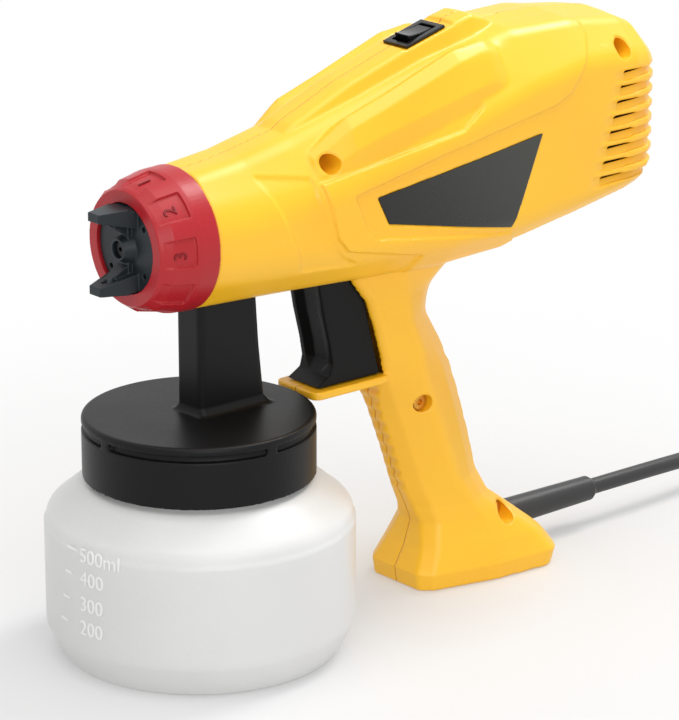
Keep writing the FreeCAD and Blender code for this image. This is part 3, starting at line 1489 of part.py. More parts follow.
def make_motor():
    """Motor can with a nose at each end for its rubber mounts."""
    body = new_body("motor", z="motor_rise")
    bore = "shaft_radius + shaft_fit"
    turned(body, [
        ("motor_front", "0"),
        ("motor_front", "motor_neck_radius"),
        ("motor_front - 4", "motor_neck_radius"),
        ("motor_front - 4", "motor_radius"),
        ("motor_front - motor_length + 4", "motor_radius"),
        ("motor_front - motor_length + 4", "motor_neck_radius"),
        ("motor_front - motor_length", "motor_neck_radius"),
        ("motor_front - motor_length", bore),
        ("motor_front - motor_length + 30", bore),
        ("motor_front - motor_length + 30", "0"),
    ], "H")
    return body


def make_motor_ring(label, place, radius):
    """Rubber ring that carries one end of the motor in the housing."""
    body = new_body(label, x=place, z="motor_rise")
    turned(body, [
        ("0", "motor_neck_radius + 0.05"),
        ("0", radius),
        ("3.6", radius),
        ("3.6", "motor_neck_radius + 0.05"),
    ], "H")
    holes = extruded(body, "YZ_Plane", "20", circles=[(("0", "motor_ring_hole_place"), "motor_ring_hole")], cut=True)
    around(body, holes, "X_Axis", "motor_ring_hole_count")
    return body


def make_shroud():
    """Turbine casing: a can that is open to the motor and has the air inlet in its back."""
    body = new_body("turbine_casing", x="motor_front - motor_length - 2", z="motor_rise")
    turned(body, [
        ("0", "shroud_radius - shroud_wall"),
        ("0", "motor_ring_rear_radius"),
        ("0 - shroud_wall", "motor_ring_rear_radius"),
        ("0 - shroud_wall", "shroud_radius"),
        ("0 - shroud_length", "shroud_radius"),
        ("0 - shroud_length", "shroud_inlet"),
        ("0 - shroud_length + shroud_wall", "shroud_inlet"),
        ("0 - shroud_length + shroud_wall", "shroud_radius - shroud_wall"),
    ], "H")
    return body


def make_impeller():
    """Turbine wheel: a back plate with curved blades, a front ring and the hub on the motor shaft."""
    body = new_body("turbine_wheel", x="motor_front - motor_length - 5", z="motor_rise")
    turned(body, [
        ("0", "0"),
        ("0", "impeller_radius"),
        ("-1.4", "impeller_radius"),
        ("-1.4", "shaft_radius + 3"),
        ("0 - impeller_length", "shaft_radius + 1.6"),
        ("0 - impeller_length", "0"),
    ], "H")
    blade = extruded(body, "YZ_Plane", "impeller_length", corners=[
        ("0", "shaft_radius + 3.4"),
        ("blade_thickness", "shaft_radius + 3.4"),
        ("4 + blade_thickness", "impeller_eye + 2"),
        ("5 + blade_thickness", "impeller_radius - 2"),
        ("5", "impeller_radius - 2"),
        ("4", "impeller_eye + 2"),
    ], both=False, reverse=True)
    around(body, blade, "X_Axis", "impeller_blades")
    shaft = primitive("Cylinder", "wheel_shaft", Radius="shaft_radius", Height="30")
    shaft.Placement = Placement(Vector(), Rotation(Vector(0, 1, 0), 90))
    bind(shaft, Placement__Base__x="motor_front - motor_length - 6", Placement__Base__z="motor_rise")
    return joined("turbine_rotor", [body, shaft])


def make_hatch():
    """Filter cover in the underside: a plate that swings down about its rear edge."""
    return plain("filter_cover", hatch_form())


def make_filter():
    """Foam filter that stands behind the louvres."""
    block = primitive("Box", "air_filter", Length="filter_thickness", Width="2 * filter_half",
                      Height="filter_top - filter_low", Placement__Base__x="filter_rear",
                      Placement__Base__y="0 - filter_half", Placement__Base__z="filter_low")
    return block


def make_boot():
    """Strain relief of the lead: a flange inside the foot and a tapering sleeve behind it."""
    body = new_body("strain_relief", z="cord_rise")
    turned(body, [
        ("boot_flange_place + boot_flange_width", "cord_radius + 0.02"),
        ("boot_flange_place + boot_flange_width", "boot_flange_radius"),
        ("boot_flange_place", "boot_flange_radius"),
        ("boot_flange_place", "boot_root_radius"),
        ("boot_tip + 2", "boot_tip_radius"),
        ("boot_tip", "boot_tip_radius - 1.2"),
        ("boot_tip", "cord_radius + 0.02"),
    ], "H")
    return body


def make_lead():
    """Lead inside the boot and the foot, as far as its clamp."""
    lead = primitive("Cylinder", "lead_in_foot", Radius="cord_radius", Height="boot_front - boot_tip")
    lead.Placement = Placement(Vector(), Rotation(Vector(0, 1, 0), 90))
    return bind(lead, Placement__Base__x="boot_tip", Placement__Base__z="cord_rise")


def make_clamp():
    """Saddle that holds the lead down inside the foot, with its two screws in one piece each."""
    box = primitive("Box", "clamp_bar", Length="clamp_length", Width="clamp_width", Height="clamp_height",
                    Placement__Base__x="boot_front - 2 - clamp_length", Placement__Base__y="0 - clamp_width / 2",
                    Placement__Base__z="cord_rise + cord_radius - 1")
    groove = primitive("Cylinder", "clamp_groove", Radius="cord_radius + 0.05", Height="clamp_length + 4")
    groove.Placement = Placement(Vector(), Rotation(Vector(0, 1, 0), 90))
    bind(groove, Placement__Base__x="boot_front - clamp_length - 4", Placement__Base__z="cord_rise")
    return cut_from("cord_clamp", box, groove)


def tube_along(label, route):
    """Round tube of the lead along a route, which prints what its runs come to."""
    path, radii = bent_path([Vector(*point) for point in route])
    tube = swept(path, size("cord_radius"))
    print(label, "radii", [round(radius) for radius in radii], "length", round(path.Length, 1),
          "volume ratio", round(tube.Volume / (math.pi * size("cord_radius") ** 2 * path.Length), 5))
    return plain(label, tube)


def coil_points():
    """Points of the put away coil: inward on the floor, up a layer where the spiral reverses, and out."""
    inner, outer = size("coil_inner"), size("coil_outer")
    quarters = int(size("coil_turns") * 4)
    inward = (outer - inner) / quarters
    points = []
    for number in range(2 * quarters + 3):
        climb = min(max(number - quarters, 0), 2)
        radius = inner + inward * (abs(number - quarters - 1) - 1)
        turn = math.radians(-90.0 - 90.0 * number)
        points.append(Vector(size("coil_place") + radius * math.cos(turn),
                             size("coil_side") + radius * math.sin(turn),
                             size("cord_radius") + size("coil_step") * climb / 2.0))
    return points


def make_coil():
    """Rest of the lead, put away in flat loops on the floor in two layers."""
    points = coil_points()
    centre = Vector(size("coil_place"), size("coil_side"), 0)
    tangents = []
    for number, point in enumerate(points):
        if number in (0, len(points) - 1):
            out = point - centre
            tangents.append(Vector(out.y, -out.x, 0).normalize())
        else:
            along = points[number + 1] - points[number - 1]
            if number != len(points) // 2:
                along.z = 0.0
            tangents.append(along.normalize())
    edges = [edge for ends in zip(points, tangents, points[1:], tangents[1:]) for edge in biarc(*ends)]
    straight = 2 * size("cord_radius")
    edges.insert(0, Part.LineSegment(points[0] - tangents[0] * straight, points[0]).toShape())
    edges.append(Part.LineSegment(points[-1], points[-1] + tangents[-1] * straight).toShape())
    path = Part.Wire(edges)
    print("coil", path.Length, points[0] - tangents[0] * straight, points[-1] + tangents[-1] * straight,
          "gap", least_gap(path))
    return plain("cord_coil", swept(path, size("cord_radius")))


def least_gap(path):
    """Least distance between the tube's surface and itself, on points more than half a turn apart."""
    points = path.discretize(Distance=3.0)
    apart = int(0.5 * 2 * math.pi * size("coil_inner") / 3.0)
    least = min((points[i] - points[j]).Length for i in range(len(points))
                for j in range(i + apart, len(points)))
    return least - 2 * size("cord_radius")


def make_plug():
    """Flat plug with two pins, lying on the floor at the end of the lead."""
    half_wide, half_high, length = size("plug_width") / 2, size("plug_height") / 2, size("plug_length")
    block = Part.makeBox(length, 2 * half_wide, 2 * half_high, Vector(0, -half_wide, -half_high))
    sides = [edge for edge in block.Edges if abs(edge.CenterOfMass.x) < 1e-6
             and abs(abs(edge.CenterOfMass.y) - half_wide) < 1e-6]
    block = block.makeChamfer(11.0, sides)
    rims = [edge for edge in block.Edges if abs(abs(edge.CenterOfMass.z) - half_high) < 1e-6]
    block = block.makeFillet(2.0, rims)
    pins = []
    for side in (1, -1):
        pin = rod(size("pin_radius"), size("pin_length") + 3.0, length - 3.0, side * size("pin_spacing") / 2, 0,
                  Vector(1, 0, 0))
        pins.append(pin.makeFillet(1.2, [pin.Edges[0]]))
    shape = block.fuse(pins)
    last, end = Vector(*TAIL_ROUTE[-2]), Vector(*TAIL_ROUTE[-1])
    shape.Placement = Placement(end, Rotation(Vector(1, 0, 0), end - last))
    return plain("plug", shape)


def check_and_write(pieces):
    """Stops at the first piece that failed, then writes every piece to its file."""
    doc.recompute()
    for item in doc.Objects:
        if "Invalid" in item.State or "Error" in item.State:
            raise SystemExit("failed: %s %s" % (item.Label, item.State))
    for piece in pieces:
        if piece.Shape.isNull() or not piece.Shape.isValid():
            raise SystemExit("no valid shape: " + piece.Label)
    os.makedirs("parts", exist_ok=True)
    for piece in pieces:
        piece.Shape.exportStep("parts/%s.step" % piece.Label)
        print(piece.Label, round(piece.Shape.Volume), len(piece.Shape.Solids))


check_and_write([
    make_cup(), make_lid(), make_cup_seal(), make_suction_tube(), make_vent_valve(), make_nozzle_body(),
    make_jet(), make_air_cap(), make_selector_ring(), make_ring_seal(), make_screws(), make_side_plate(),
    make_duct(), make_needle(), make_packing(), make_needle_guide(), make_spring(), make_trigger(),
    make_pivot_pin(), make_switch(), make_rocker(), make_motor(),
    make_motor_ring("motor_ring_front", "motor_front - 3.8", "motor_ring_front_radius"),
    make_motor_ring("motor_ring_rear", "motor_front - motor_length + 0.2", "motor_ring_rear_radius"),
    make_shroud(), make_impeller(), make_hatch(), make_filter(), make_boot(), make_lead(), make_clamp(),
    tube_along("power_cord", CORD_ROUTE), make_coil(),
    tube_along("cord_tail", TAIL_ROUTE), make_plug(),
] + make_housing())
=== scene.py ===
"""Turbine paint sprayer: the looks of its pieces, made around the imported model. Sizes are in metres."""

import json
import math

import bmesh
import bpy
import numpy as np
from mathutils import Matrix, Vector
from mathutils.bvhtree import BVHTree

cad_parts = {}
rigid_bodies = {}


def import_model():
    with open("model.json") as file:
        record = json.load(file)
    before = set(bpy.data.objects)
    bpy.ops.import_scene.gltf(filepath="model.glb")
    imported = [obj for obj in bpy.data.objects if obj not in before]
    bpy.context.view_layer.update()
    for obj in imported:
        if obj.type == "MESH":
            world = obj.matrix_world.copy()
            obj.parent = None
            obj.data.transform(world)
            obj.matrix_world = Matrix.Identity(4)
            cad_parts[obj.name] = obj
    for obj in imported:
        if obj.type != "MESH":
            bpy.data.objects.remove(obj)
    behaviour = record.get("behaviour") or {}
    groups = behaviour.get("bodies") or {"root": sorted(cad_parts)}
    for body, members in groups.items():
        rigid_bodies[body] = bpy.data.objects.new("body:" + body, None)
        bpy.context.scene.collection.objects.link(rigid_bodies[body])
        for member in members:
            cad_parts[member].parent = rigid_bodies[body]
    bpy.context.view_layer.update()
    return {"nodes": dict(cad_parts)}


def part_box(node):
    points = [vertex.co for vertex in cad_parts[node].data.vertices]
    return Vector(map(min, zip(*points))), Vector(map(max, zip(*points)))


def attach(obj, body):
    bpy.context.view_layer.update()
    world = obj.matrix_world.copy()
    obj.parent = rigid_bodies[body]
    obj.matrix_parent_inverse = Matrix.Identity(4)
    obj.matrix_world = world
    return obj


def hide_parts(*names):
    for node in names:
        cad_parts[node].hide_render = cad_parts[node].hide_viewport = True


for leftover in list(bpy.data.objects):
    bpy.data.objects.remove(leftover)
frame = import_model()


# Photographer's table
# A long lens looks down at the sprayer from its left front corner. The sprayer stands on a seamless white
# sheet between three wide soft lamps, so its shadow is pale and fades into the background.
scene = bpy.context.scene
scene.view_settings.view_transform = "Standard"
lens_place = Vector((0.7926, 1.0265, 0.5316))
lens_direction = Vector((-0.6136, -0.7287, -0.3042))
camera = bpy.data.objects.new("camera", bpy.data.cameras.new("camera"))
camera.data.lens = 175.135
camera.location = lens_place
camera.rotation_euler = lens_direction.to_track_quat("-Z", "Y").to_euler()
scene.collection.objects.link(camera)
scene.camera = camera

table_centre = Vector((-0.10, 0.0, 0.10))


def soft_lamp(name, place, width, power):
    """Square lamp that faces the sprayer."""
    lamp = bpy.data.objects.new(name, bpy.data.lights.new(name, "AREA"))
    lamp.data.size = width
    lamp.data.energy = power
    lamp.location = place
    lamp.rotation_euler = (table_centre - Vector(place)).to_track_quat("-Z", "Y").to_euler()
    scene.collection.objects.link(lamp)


soft_lamp("overhead", (0.05, 0.25, 1.55), 1.5, 13.0)
soft_lamp("left", (0.7, 1.5, 0.7), 0.9, 8.0)
soft_lamp("behind", (-1.0, 0.0, 1.4), 0.5, 12.5)


class Wire:
    """Socket of a material's or a world's nodes. Arithmetic on a wire adds Math nodes to the same tree."""

    def __init__(self, tree, socket=None):
        self.tree = tree
        self.socket = socket

    def add(self, kind, inputs=None, out=0, **settings):
        """Adds a node: its settings first, then the values or wires of its sockets."""
        node = self.tree.nodes.new("ShaderNode" + kind)
        for name, value in settings.items():
            setattr(node, name, value)
        for name, value in (inputs or {}).items():
            self.join(value, node.inputs[name])
        return Wire(self.tree, node.outputs[out])

    def join(self, value, socket):
        """Links a wire to a socket, or sets the socket to a plain value."""
        if isinstance(value, Wire):
            self.tree.links.new(value.socket, socket)
        else:
            socket.default_value = value

    def maths(self, operation, left, right):
        return self.add("Math", {0: left, 1: right}, operation=operation)

    def __add__(self, other):
        return self.maths("ADD", self, other)

    def __radd__(self, other):
        return self.maths("ADD", other, self)

    def __sub__(self, other):
        return self.maths("SUBTRACT", self, other)

    def __rsub__(self, other):
        return self.maths("SUBTRACT", other, self)

    def __mul__(self, other):
        return self.maths("MULTIPLY", self, other)

    def __rmul__(self, other):
        return self.maths("MULTIPLY", other, self)

    def fade(self, start, end):
        """0 before the first value and 1 after the second, with a soft step between them."""
        return self.add("MapRange", {0: self, 1: start, 2: end}, interpolation_type="SMOOTHSTEP")

    def blend(self, first, second):
        """Colour that goes from the first to the second as this wire goes from 0 to 1."""
        return self.add("Mix", {0: self, 6: first, 7: second}, out=2, data_type="RGBA")


backdrop_fill = 0.5
world = bpy.data.worlds.new("white_room")
scene.world = world
world.use_nodes = True
room = Wire(world.node_tree)
room_light = world.node_tree.nodes["Background"]
seen = room.add("LightPath", out="Is Camera Ray")
mirrored = room.add("LightPath", out="Is Glossy Ray")
shown = room.maths("MAXIMUM", seen, mirrored)
room.join(shown * (1.0 - backdrop_fill) + backdrop_fill, room_light.inputs["Strength"])
room.join((1.0, 1.0, 1.0, 1.0), room_light.inputs["Color"])

sheet_reach = 6.0
sheet_drop = 0.0003
sheet_corners = [(x * sheet_reach, y * sheet_reach, -sheet_drop)
                 for x, y in ((-1, -1), (1, -1), (1, 1), (-1, 1))]
sheet_mesh = bpy.data.meshes.new("white_sheet")
sheet_mesh.from_pydata(sheet_corners, [], [(0, 1, 2, 3)])
sheet = bpy.data.objects.new("white_sheet", sheet_mesh)
scene.collection.objects.link(sheet)

sheet_paper = bpy.data.materials.new("white_paper")
sheet_paper.use_nodes = True
paper = Wire(sheet_paper.node_tree)
paper_shader = sheet_paper.node_tree.nodes["Principled BSDF"]
paper.join((0.68, 0.68, 0.68, 1.0), paper_shader.inputs["Base Color"])
paper.join(0.6, paper_shader.inputs["Roughness"])
spot = paper.add("TexCoord", out="Object")
away = paper.add("VectorMath", {0: spot, 1: tuple(table_centre)}, out="Value", operation="DISTANCE")
glow = paper.add("Emission", {"Color": (1.0, 1.0, 1.0, 1.0)})
glow_share = 0.27 + away.fade(0.14, 0.46) * 0.73
lit = paper.add("MixShader", {0: glow_share, 1: Wire(paper.tree, paper_shader.outputs[0]), 2: glow})
paper.join(lit, sheet_paper.node_tree.nodes["Material Output"].inputs["Surface"])
sheet_mesh.materials.append(sheet_paper)


# Mains lead
# A 7 mm round lead in black PVC leaves the foot of the handle through a moulded boot, lies on the table and
# is put away behind the sprayer in one flat coil of two layers, with its moulded plug at the end.
def moulded(name, colour, rough, grain=0.00002, drift=0.06, shade=None, shine=0.5):
    """Moulded plastic or rubber: fine grain left by the mould, slow drift of tone and uneven gloss."""
    material = bpy.data.materials.new(name)
    material.use_nodes = True
    shader = material.node_tree.nodes["Principled BSDF"]
    shader.inputs["Specular IOR Level"].default_value = shine
    start = Wire(material.node_tree)
    place = start.add("TexCoord", out="Object")
    patches = start.add("TexNoise", {"Vector": place, "Scale": 22.0, "Detail": 3.0})
    speckle = start.add("TexNoise", {"Vector": place, "Scale": 900.0, "Detail": 2.0})
    darker = shade or tuple(channel * (1.0 - 3.0 * drift) for channel in colour)
    tone = patches * 0.7 + speckle * 0.3
    start.join(tone.fade(0.25, 0.62).blend((*darker, 1.0), (*colour, 1.0)), shader.inputs["Base Color"])
    start.join(rough + (patches - 0.5) * 0.16 + (speckle - 0.5) * 0.10, shader.inputs["Roughness"])
    height = start.add("TexNoise", {"Vector": place, "Scale": 1500.0, "Detail": 2.0, "Roughness": 0.6})
    bumps = start.add("Bump", {"Height": height, "Strength": 0.6, "Distance": grain})
    start.join(bumps, shader.inputs["Normal"])
    return material


def feed(material, socket):
    """Wire that feeds a socket of a material's shader so far."""
    shader = material.node_tree.nodes["Principled BSDF"]
    return Wire(material.node_tree, shader.inputs[socket].links[0].from_socket)


def dressed(node, material):
    """Gives a CAD piece its finish."""
    for slot in frame["nodes"][node].material_slots:
        slot.material = material


lead_rubber = moulded("lead_rubber", (0.030, 0.030, 0.031), 0.42, shine=0.4)
lead_radius = 0.0035
lead_exit = (-0.214, 0.0, 0.0159)
lead_from_foot = [lead_exit, (-0.268, 0.0, 0.0159), (-0.324, -0.009, 0.0098), (-0.364, -0.0186, 0.0035),
                  (-0.400, -0.0186, 0.0035)]
lead_to_plug = [(-0.414, -0.0186, 0.011), (-0.438, -0.0186, 0.011), (-0.462, -0.016, 0.0069),
                (-0.486, -0.013, 0.0069)]

coil_centre = Vector((-0.407, 0.034, 0.0))
coil_inner = 0.032
coil_outer = 0.0526
coil_quarters = 11
coil_low = 0.0035
coil_step = 0.0075
points_per_quarter = 6


def coil_route():
    """Turns of the coil: inward on the table, over to the upper layer in half a turn, and outward again."""
    inward = (coil_outer - coil_inner) / coil_quarters
    middle = coil_quarters + 1
    slack = math.cos(math.pi / (4 * points_per_quarter))
    route = []
    for number in range(2 * middle * points_per_quarter + 1):
        quarter = number / points_per_quarter
        radius = (coil_inner + inward * (abs(quarter - middle) - 1.0)) / slack
        angle = math.radians(-90.0 - 90.0 * quarter)
        share = min(max((quarter - middle + 1.0) / 2.0, 0.0), 1.0)
        climb = share * share * (3.0 - 2.0 * share)
        route.append((coil_centre.x + radius * math.cos(angle), coil_centre.y + radius * math.sin(angle),
                      coil_low + coil_step * climb))
    return route


lead_route = lead_from_foot + coil_route() + lead_to_plug
lead_curve = bpy.data.curves.new("mains_lead", "CURVE")
lead_curve.dimensions = "3D"
lead_curve.bevel_depth = lead_radius
lead_curve.bevel_resolution = 6
lead_curve.use_fill_caps = True
lead_line = lead_curve.splines.new("NURBS")
lead_line.points.add(len(lead_route) - 1)
for point, place in zip(lead_line.points, lead_route):
    point.co = (*place, 1.0)
lead_line.order_u = 3
lead_line.use_endpoint_u = True
lead_line.resolution_u = 6
lead_curve.materials.append(lead_rubber)
lead = bpy.data.objects.new("mains_lead", lead_curve)
scene.collection.objects.link(lead)
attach(lead, "housing")
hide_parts("power_cord", "cord_coil", "cord_tail")

for part in ("strain_relief", "lead_in_foot"):
    dressed(part, lead_rubber)


def plug_finish():
    """Black moulded plug whose blades are bare bright metal past the front face."""
    material = moulded("plug_rubber", (0.030, 0.030, 0.031), 0.36, shine=0.4)
    shader = material.node_tree.nodes["Principled BSDF"]
    start = Wire(material.node_tree)
    along = start.add("SeparateXYZ", {0: start.add("TexCoord", out="Object")}, out="X")
    front_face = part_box("plug")[0].x + 0.0190
    blades = 1.0 - along.fade(front_face - 0.0002, front_face + 0.0002)
    coloured = blades.blend(feed(material, "Base Color"), (0.75, 0.72, 0.64, 1.0))
    start.join(coloured, shader.inputs["Base Color"])
    start.join(feed(material, "Roughness") * (1.0 - blades * 0.4), shader.inputs["Roughness"])
    start.join(blades, shader.inputs["Metallic"])
    return material


dressed("plug", plug_finish())


# Housing
# Two moulded halves in golden yellow ABS meet at the middle and are screwed together from the left. They
# carry the nose, the motor bay with its louvres, the ledge under the trigger and the handle.
def settled(piece):
    """Makes the piece's modifiers part of its mesh."""
    form = bpy.data.meshes.new_from_object(piece.evaluated_get(bpy.context.evaluated_depsgraph_get()))
    piece.modifiers.clear()
    piece.data = form


def places_of(form):
    """Places of a mesh's points, one in each row."""
    points = np.empty(len(form.vertices) * 3)
    form.vertices.foreach_get("co", points)
    return points.reshape(-1, 3)


def drawn(form, steps, weight=1.0):
    """Moves each point of a mesh toward the middle of its neighbours, by the share of each step in turn."""
    points = places_of(form)
    count = len(points)
    ends = np.empty(len(form.edges) * 2, int)
    form.edges.foreach_get("vertices", ends)
    ends = ends.reshape(-1, 2)
    here = np.concatenate([ends[:, 0], ends[:, 1]])
    there = np.concatenate([ends[:, 1], ends[:, 0]])
    neighbours = np.bincount(here, minlength=count)[:, None]
    for step in steps:
        sums = [np.bincount(here, points[there, axis], count) for axis in range(3)]
        points += (np.stack(sums, 1) / neighbours - points) * step * weight
    form.vertices.foreach_set("co", points.ravel())
    form.update()


def softened(name, node, body, material, grid, passes, kept=0.4):
    """Stands in for a CAD piece with its edges rounded as a mould rounds them.

    The piece is meshed anew on a fine grid. Each pass draws its points in and pushes them out again, so the
    edges grow round and the size stays.
    """
    piece = bpy.data.objects.new(name, frame["nodes"][node].data.copy())
    scene.collection.objects.link(piece)
    form = bmesh.new()
    form.from_mesh(piece.data)
    bmesh.ops.remove_doubles(form, verts=form.verts, dist=1e-6)
    form.to_mesh(piece.data)
    form.free()
    mesher = piece.modifiers.new("grid", "REMESH")
    mesher.mode = "VOXEL"
    mesher.voxel_size = grid
    mesher.use_smooth_shade = True
    settled(piece)
    drawn(piece.data, (0.5, -0.51) * passes)
    thinner = piece.modifiers.new("thinner", "DECIMATE")
    thinner.ratio = kept
    settled(piece)
    piece.data.shade_smooth()
    piece.data.materials.clear()
    piece.data.materials.append(material)
    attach(piece, body)
    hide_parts(node)
    return piece


def golden(name, seam=False):
    """Golden yellow ABS. The halves' own finish also has painted shade in the seam between them."""
    material = moulded(name, (0.97, 0.525, 0.013), 0.38, drift=0.03, shade=(0.96, 0.485, 0.010), shine=0.6)
    if seam:
        shader = material.node_tree.nodes["Principled BSDF"]
        start = Wire(material.node_tree)
        across = start.add("SeparateXYZ", {0: start.add("TexCoord", out="Object")}, out="Y")
        # Painted shade: the colour darkens to brown within a fraction of a millimetre of the middle, where
        # the halves meet.
        near = 1.0 - start.maths("ABSOLUTE", across, 0.0).fade(0.0002, 0.0004)
        seam_shade = (near * 0.6).blend(feed(material, "Base Color"), (0.50, 0.17, 0.004, 1.0))
        start.join(seam_shade, shader.inputs["Base Color"])
    return material


seam_strip = 0.001


def eased(form, places, passes):
    """Smooths a fine mesh near the given places, each with its radius, and leaves the seam as it is."""
    points = places_of(form)
    weight = np.zeros(len(points))
    for place, radius in places:
        apart = np.linalg.norm(points - np.array(place), axis=1)
        weight = np.maximum(weight, np.clip(2.0 - 2.0 * apart / radius, 0.0, 1.0))
    weight *= np.clip(np.abs(points[:, 1]) / seam_strip - 1.0, 0.0, 1.0)
    drawn(form, (0.5,) * passes, weight[:, None])


golden_plastic = golden("golden_plastic")
golden_halves = golden("golden_halves", seam=True)
easy_places = []
for side in (1, -1):
    foot_front = (-0.088, side * 0.014, 0.026)
    foot_rear = (-0.172, side * 0.014, 0.026)
    grip_root = (-0.124, side * 0.014, 0.128)
    tail_top = (-0.226, side * 0.024, 0.226)
    ridge_end = (-0.129, side * 0.024, 0.225)
    easy_places += [(foot_front, 0.022), (foot_rear, 0.022), (grip_root, 0.026), (tail_top, 0.014),
                    (ridge_end, 0.016)]
for half in ("left", "right"):
    shell = softened("shell_" + half, "housing_" + half, "housing", golden_halves,
                     grid=0.0007, passes=5)
    eased(shell.data, easy_places, 40)
softened("cover_of_filter", "filter_cover", "hatch", golden_plastic,
         grid=0.0004, passes=8)


# Louvre webs
# Each slot of the air intake is closed by a sloping web moulded with its half, but for a thin wedge along
# the slot's upper edge. The webs follow the bend of the tail a little under its surface.
slot_count = 8
slot_top = 0.2075
slot_pitch = 0.0061
slot_height = 0.0031
slot_front_top = -0.1966
slot_front_low = -0.1841
tail_middle = -0.205
post_half = 0.0024
web_shallow = 0.0010
web_deep = 0.0024
web_thickness = 0.0004
wedge_height = 0.0012
wedge_share = 0.62
web_root = 0.0005
flank_steps = 5
corner_steps = 12
corner_degrees = 6.5
ray_start = 0.1


def surface_of(node):
    """Search tree of a CAD piece's faces."""
    form = frame["nodes"][node].data
    return BVHTree.FromPolygons([corner.co for corner in form.vertices],
                                [face.vertices[:] for face in form.polygons])


surfaces = {half: surface_of("housing_" + half) for half in ("left", "right")}


def skin(half, start, direction):
    """Place where a line from outside meets the outer surface of a housing half."""
    return surfaces[half].ray_cast(start, direction)[0]


def web_line(half, front, height):
    """Places on the tail's surface at a height, with the way inward at each."""
    side = 1.0 if half == "left" else -1.0
    line = []
    for number in range(flank_steps + 1):
        x = front + web_root + (tail_middle - front) * number / flank_steps
        inward = Vector((0.0, -side, 0.0))
        line.append((skin(half, (x, side * ray_start, height), inward), inward))
    for number in range(1, corner_steps + 1):
        turn = math.radians(90.0 + corner_degrees * number)
        outward = Vector((math.cos(turn), side * math.sin(turn), 0.0))
        start = Vector((tail_middle, 0.0, height)) + outward * ray_start
        line.append((skin(half, start, -outward), -outward))
    return [(place, inward) for place, inward in line if abs(place.y) > post_half]


def web_corners(half, number):
    """Rings of four corners along the web of a slot."""
    share = number / (slot_count - 1)
    front = slot_front_top * (1 - share) + slot_front_low * share
    middle = slot_top - number * slot_pitch
    below = web_line(half, front, middle - slot_pitch / 2)
    above = web_line(half, front, middle + slot_pitch / 2)
    rings = []
    for step, ((low, inward), (high, _)) in enumerate(zip(below, above)):
        part = step / (len(below) - 1)
        wedge = max(0.0, 1.0 - part / wedge_share) * wedge_height
        edge = (low + high) / 2
        foot = edge + inward * web_shallow
        head = edge + inward * web_deep
        foot.z = middle - slot_height / 2 - web_root
        head.z = middle + slot_height / 2 - wedge + (web_root if wedge == 0.0 else 0.0)
        rings.append([foot, head, head + inward * web_thickness, foot + inward * web_thickness])
    return rings


def walled(form, rings, following):
    """Joins each ring of corners to the one that follows it with four-sided faces."""
    for ring, after in zip(rings, following):
        for corner in range(len(ring)):
            form.faces.new([ring[corner - 1], ring[corner], after[corner], after[corner - 1]])


def mesh_of(name, form):
    """Mesh of a form that was built corner by corner."""
    mesh = bpy.data.meshes.new(name)
    form.to_mesh(mesh)
    form.free()
    return mesh


def added(name, mesh, material, body):
    """Adds a mesh that is made here as a piece of the sprayer, with the body that it moves with."""
    mesh.materials.clear()
    mesh.materials.append(material)
    piece = bpy.data.objects.new(name, mesh)
    scene.collection.objects.link(piece)
    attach(piece, body)
    return piece


for half in ("left", "right"):
    form = bmesh.new()
    for number in range(slot_count):
        rings = [[form.verts.new(corner) for corner in ring] for ring in web_corners(half, number)]
        walled(form, rings, rings[1:])
        form.faces.new(rings[0])
        form.faces.new(rings[-1][::-1])
    bmesh.ops.recalc_face_normals(form, faces=form.faces)
    name = "louvre_webs_" + half
    added(name, mesh_of(name, form), golden_plastic, "housing")


# Housing screws
# Four thread-forming screws in yellow passivated zinc sit deep in round wells of the left half. The wall of
# each well ends just under the surface around it.
def metal(name, colour, rough, scale, brushed=(1.0, 1.0, 1.0)):
    """Bare or plated metal: fine scratches, stretched along one axis where it is drawn or turned."""
    material = bpy.data.materials.new(name)
    material.use_nodes = True
    shader = material.node_tree.nodes["Principled BSDF"]
    start = Wire(material.node_tree)
    place = start.add("Mapping", {"Vector": start.add("TexCoord", out="Object"), "Scale": brushed})
    scratches = start.add("TexNoise", {"Vector": place, "Scale": scale, "Detail": 4.0, "Roughness": 0.7})
    darker = tuple(0.75 * channel for channel in colour)
    start.join(scratches.fade(0.35, 0.65).blend((*darker, 1.0), (*colour, 1.0)), shader.inputs["Base Color"])
    start.join(rough + (scratches - 0.5) * 0.25, shader.inputs["Roughness"])
    bumps = start.add("Bump", {"Height": scratches, "Strength": 0.35, "Distance": 0.00002})
    start.join(bumps, shader.inputs["Normal"])
    start.join(1.0, shader.inputs["Metallic"])
    return material


dressed("housing_screws", metal("yellow_zinc", (0.80, 0.42, 0.07), 0.45, 1400.0))

screw_places = [(-0.046, 0.1935), (-0.197, 0.218), (-0.105, 0.081), (-0.147, 0.025)]
well_radius = 0.0040
well_wall = 0.0009
well_foot = 0.0082
well_sunk = 0.0003
well_lining = 0.00008
well_least_height = 0.0002
well_sides = 48


def well_corners(x, z, turn):
    """Four corners of a well's wall at one turn round its axis, the top ones just under the surface."""
    middle = Vector((x, 0.0, z))
    out = Vector((math.cos(turn), 0.0, math.sin(turn)))
    beside = middle + out * (well_radius + well_wall / 3) + Vector((0.0, ray_start, 0.0))
    top = skin("left", beside, (0.0, -1.0, 0.0)).y - well_sunk
    top = max(top, well_foot + well_least_height)
    inner = middle + out * (well_radius - well_lining)
    outer = middle + out * (well_radius + well_wall)
    return [(inner.x, well_foot, inner.z), (inner.x, top, inner.z),
            (outer.x, top, outer.z), (outer.x, well_foot, outer.z)]


for number, (x, z) in enumerate(screw_places):
    form = bmesh.new()
    rings = []
    for side in range(well_sides):
        corners = well_corners(x, z, 2 * math.pi * side / well_sides)
        rings.append([form.verts.new(corner) for corner in corners])
    walled(form, rings, rings[1:] + rings[:1])
    bmesh.ops.recalc_face_normals(form, faces=form.faces)
    name = "screw_well_%d" % number
    added(name, mesh_of(name, form), golden_plastic, "housing")
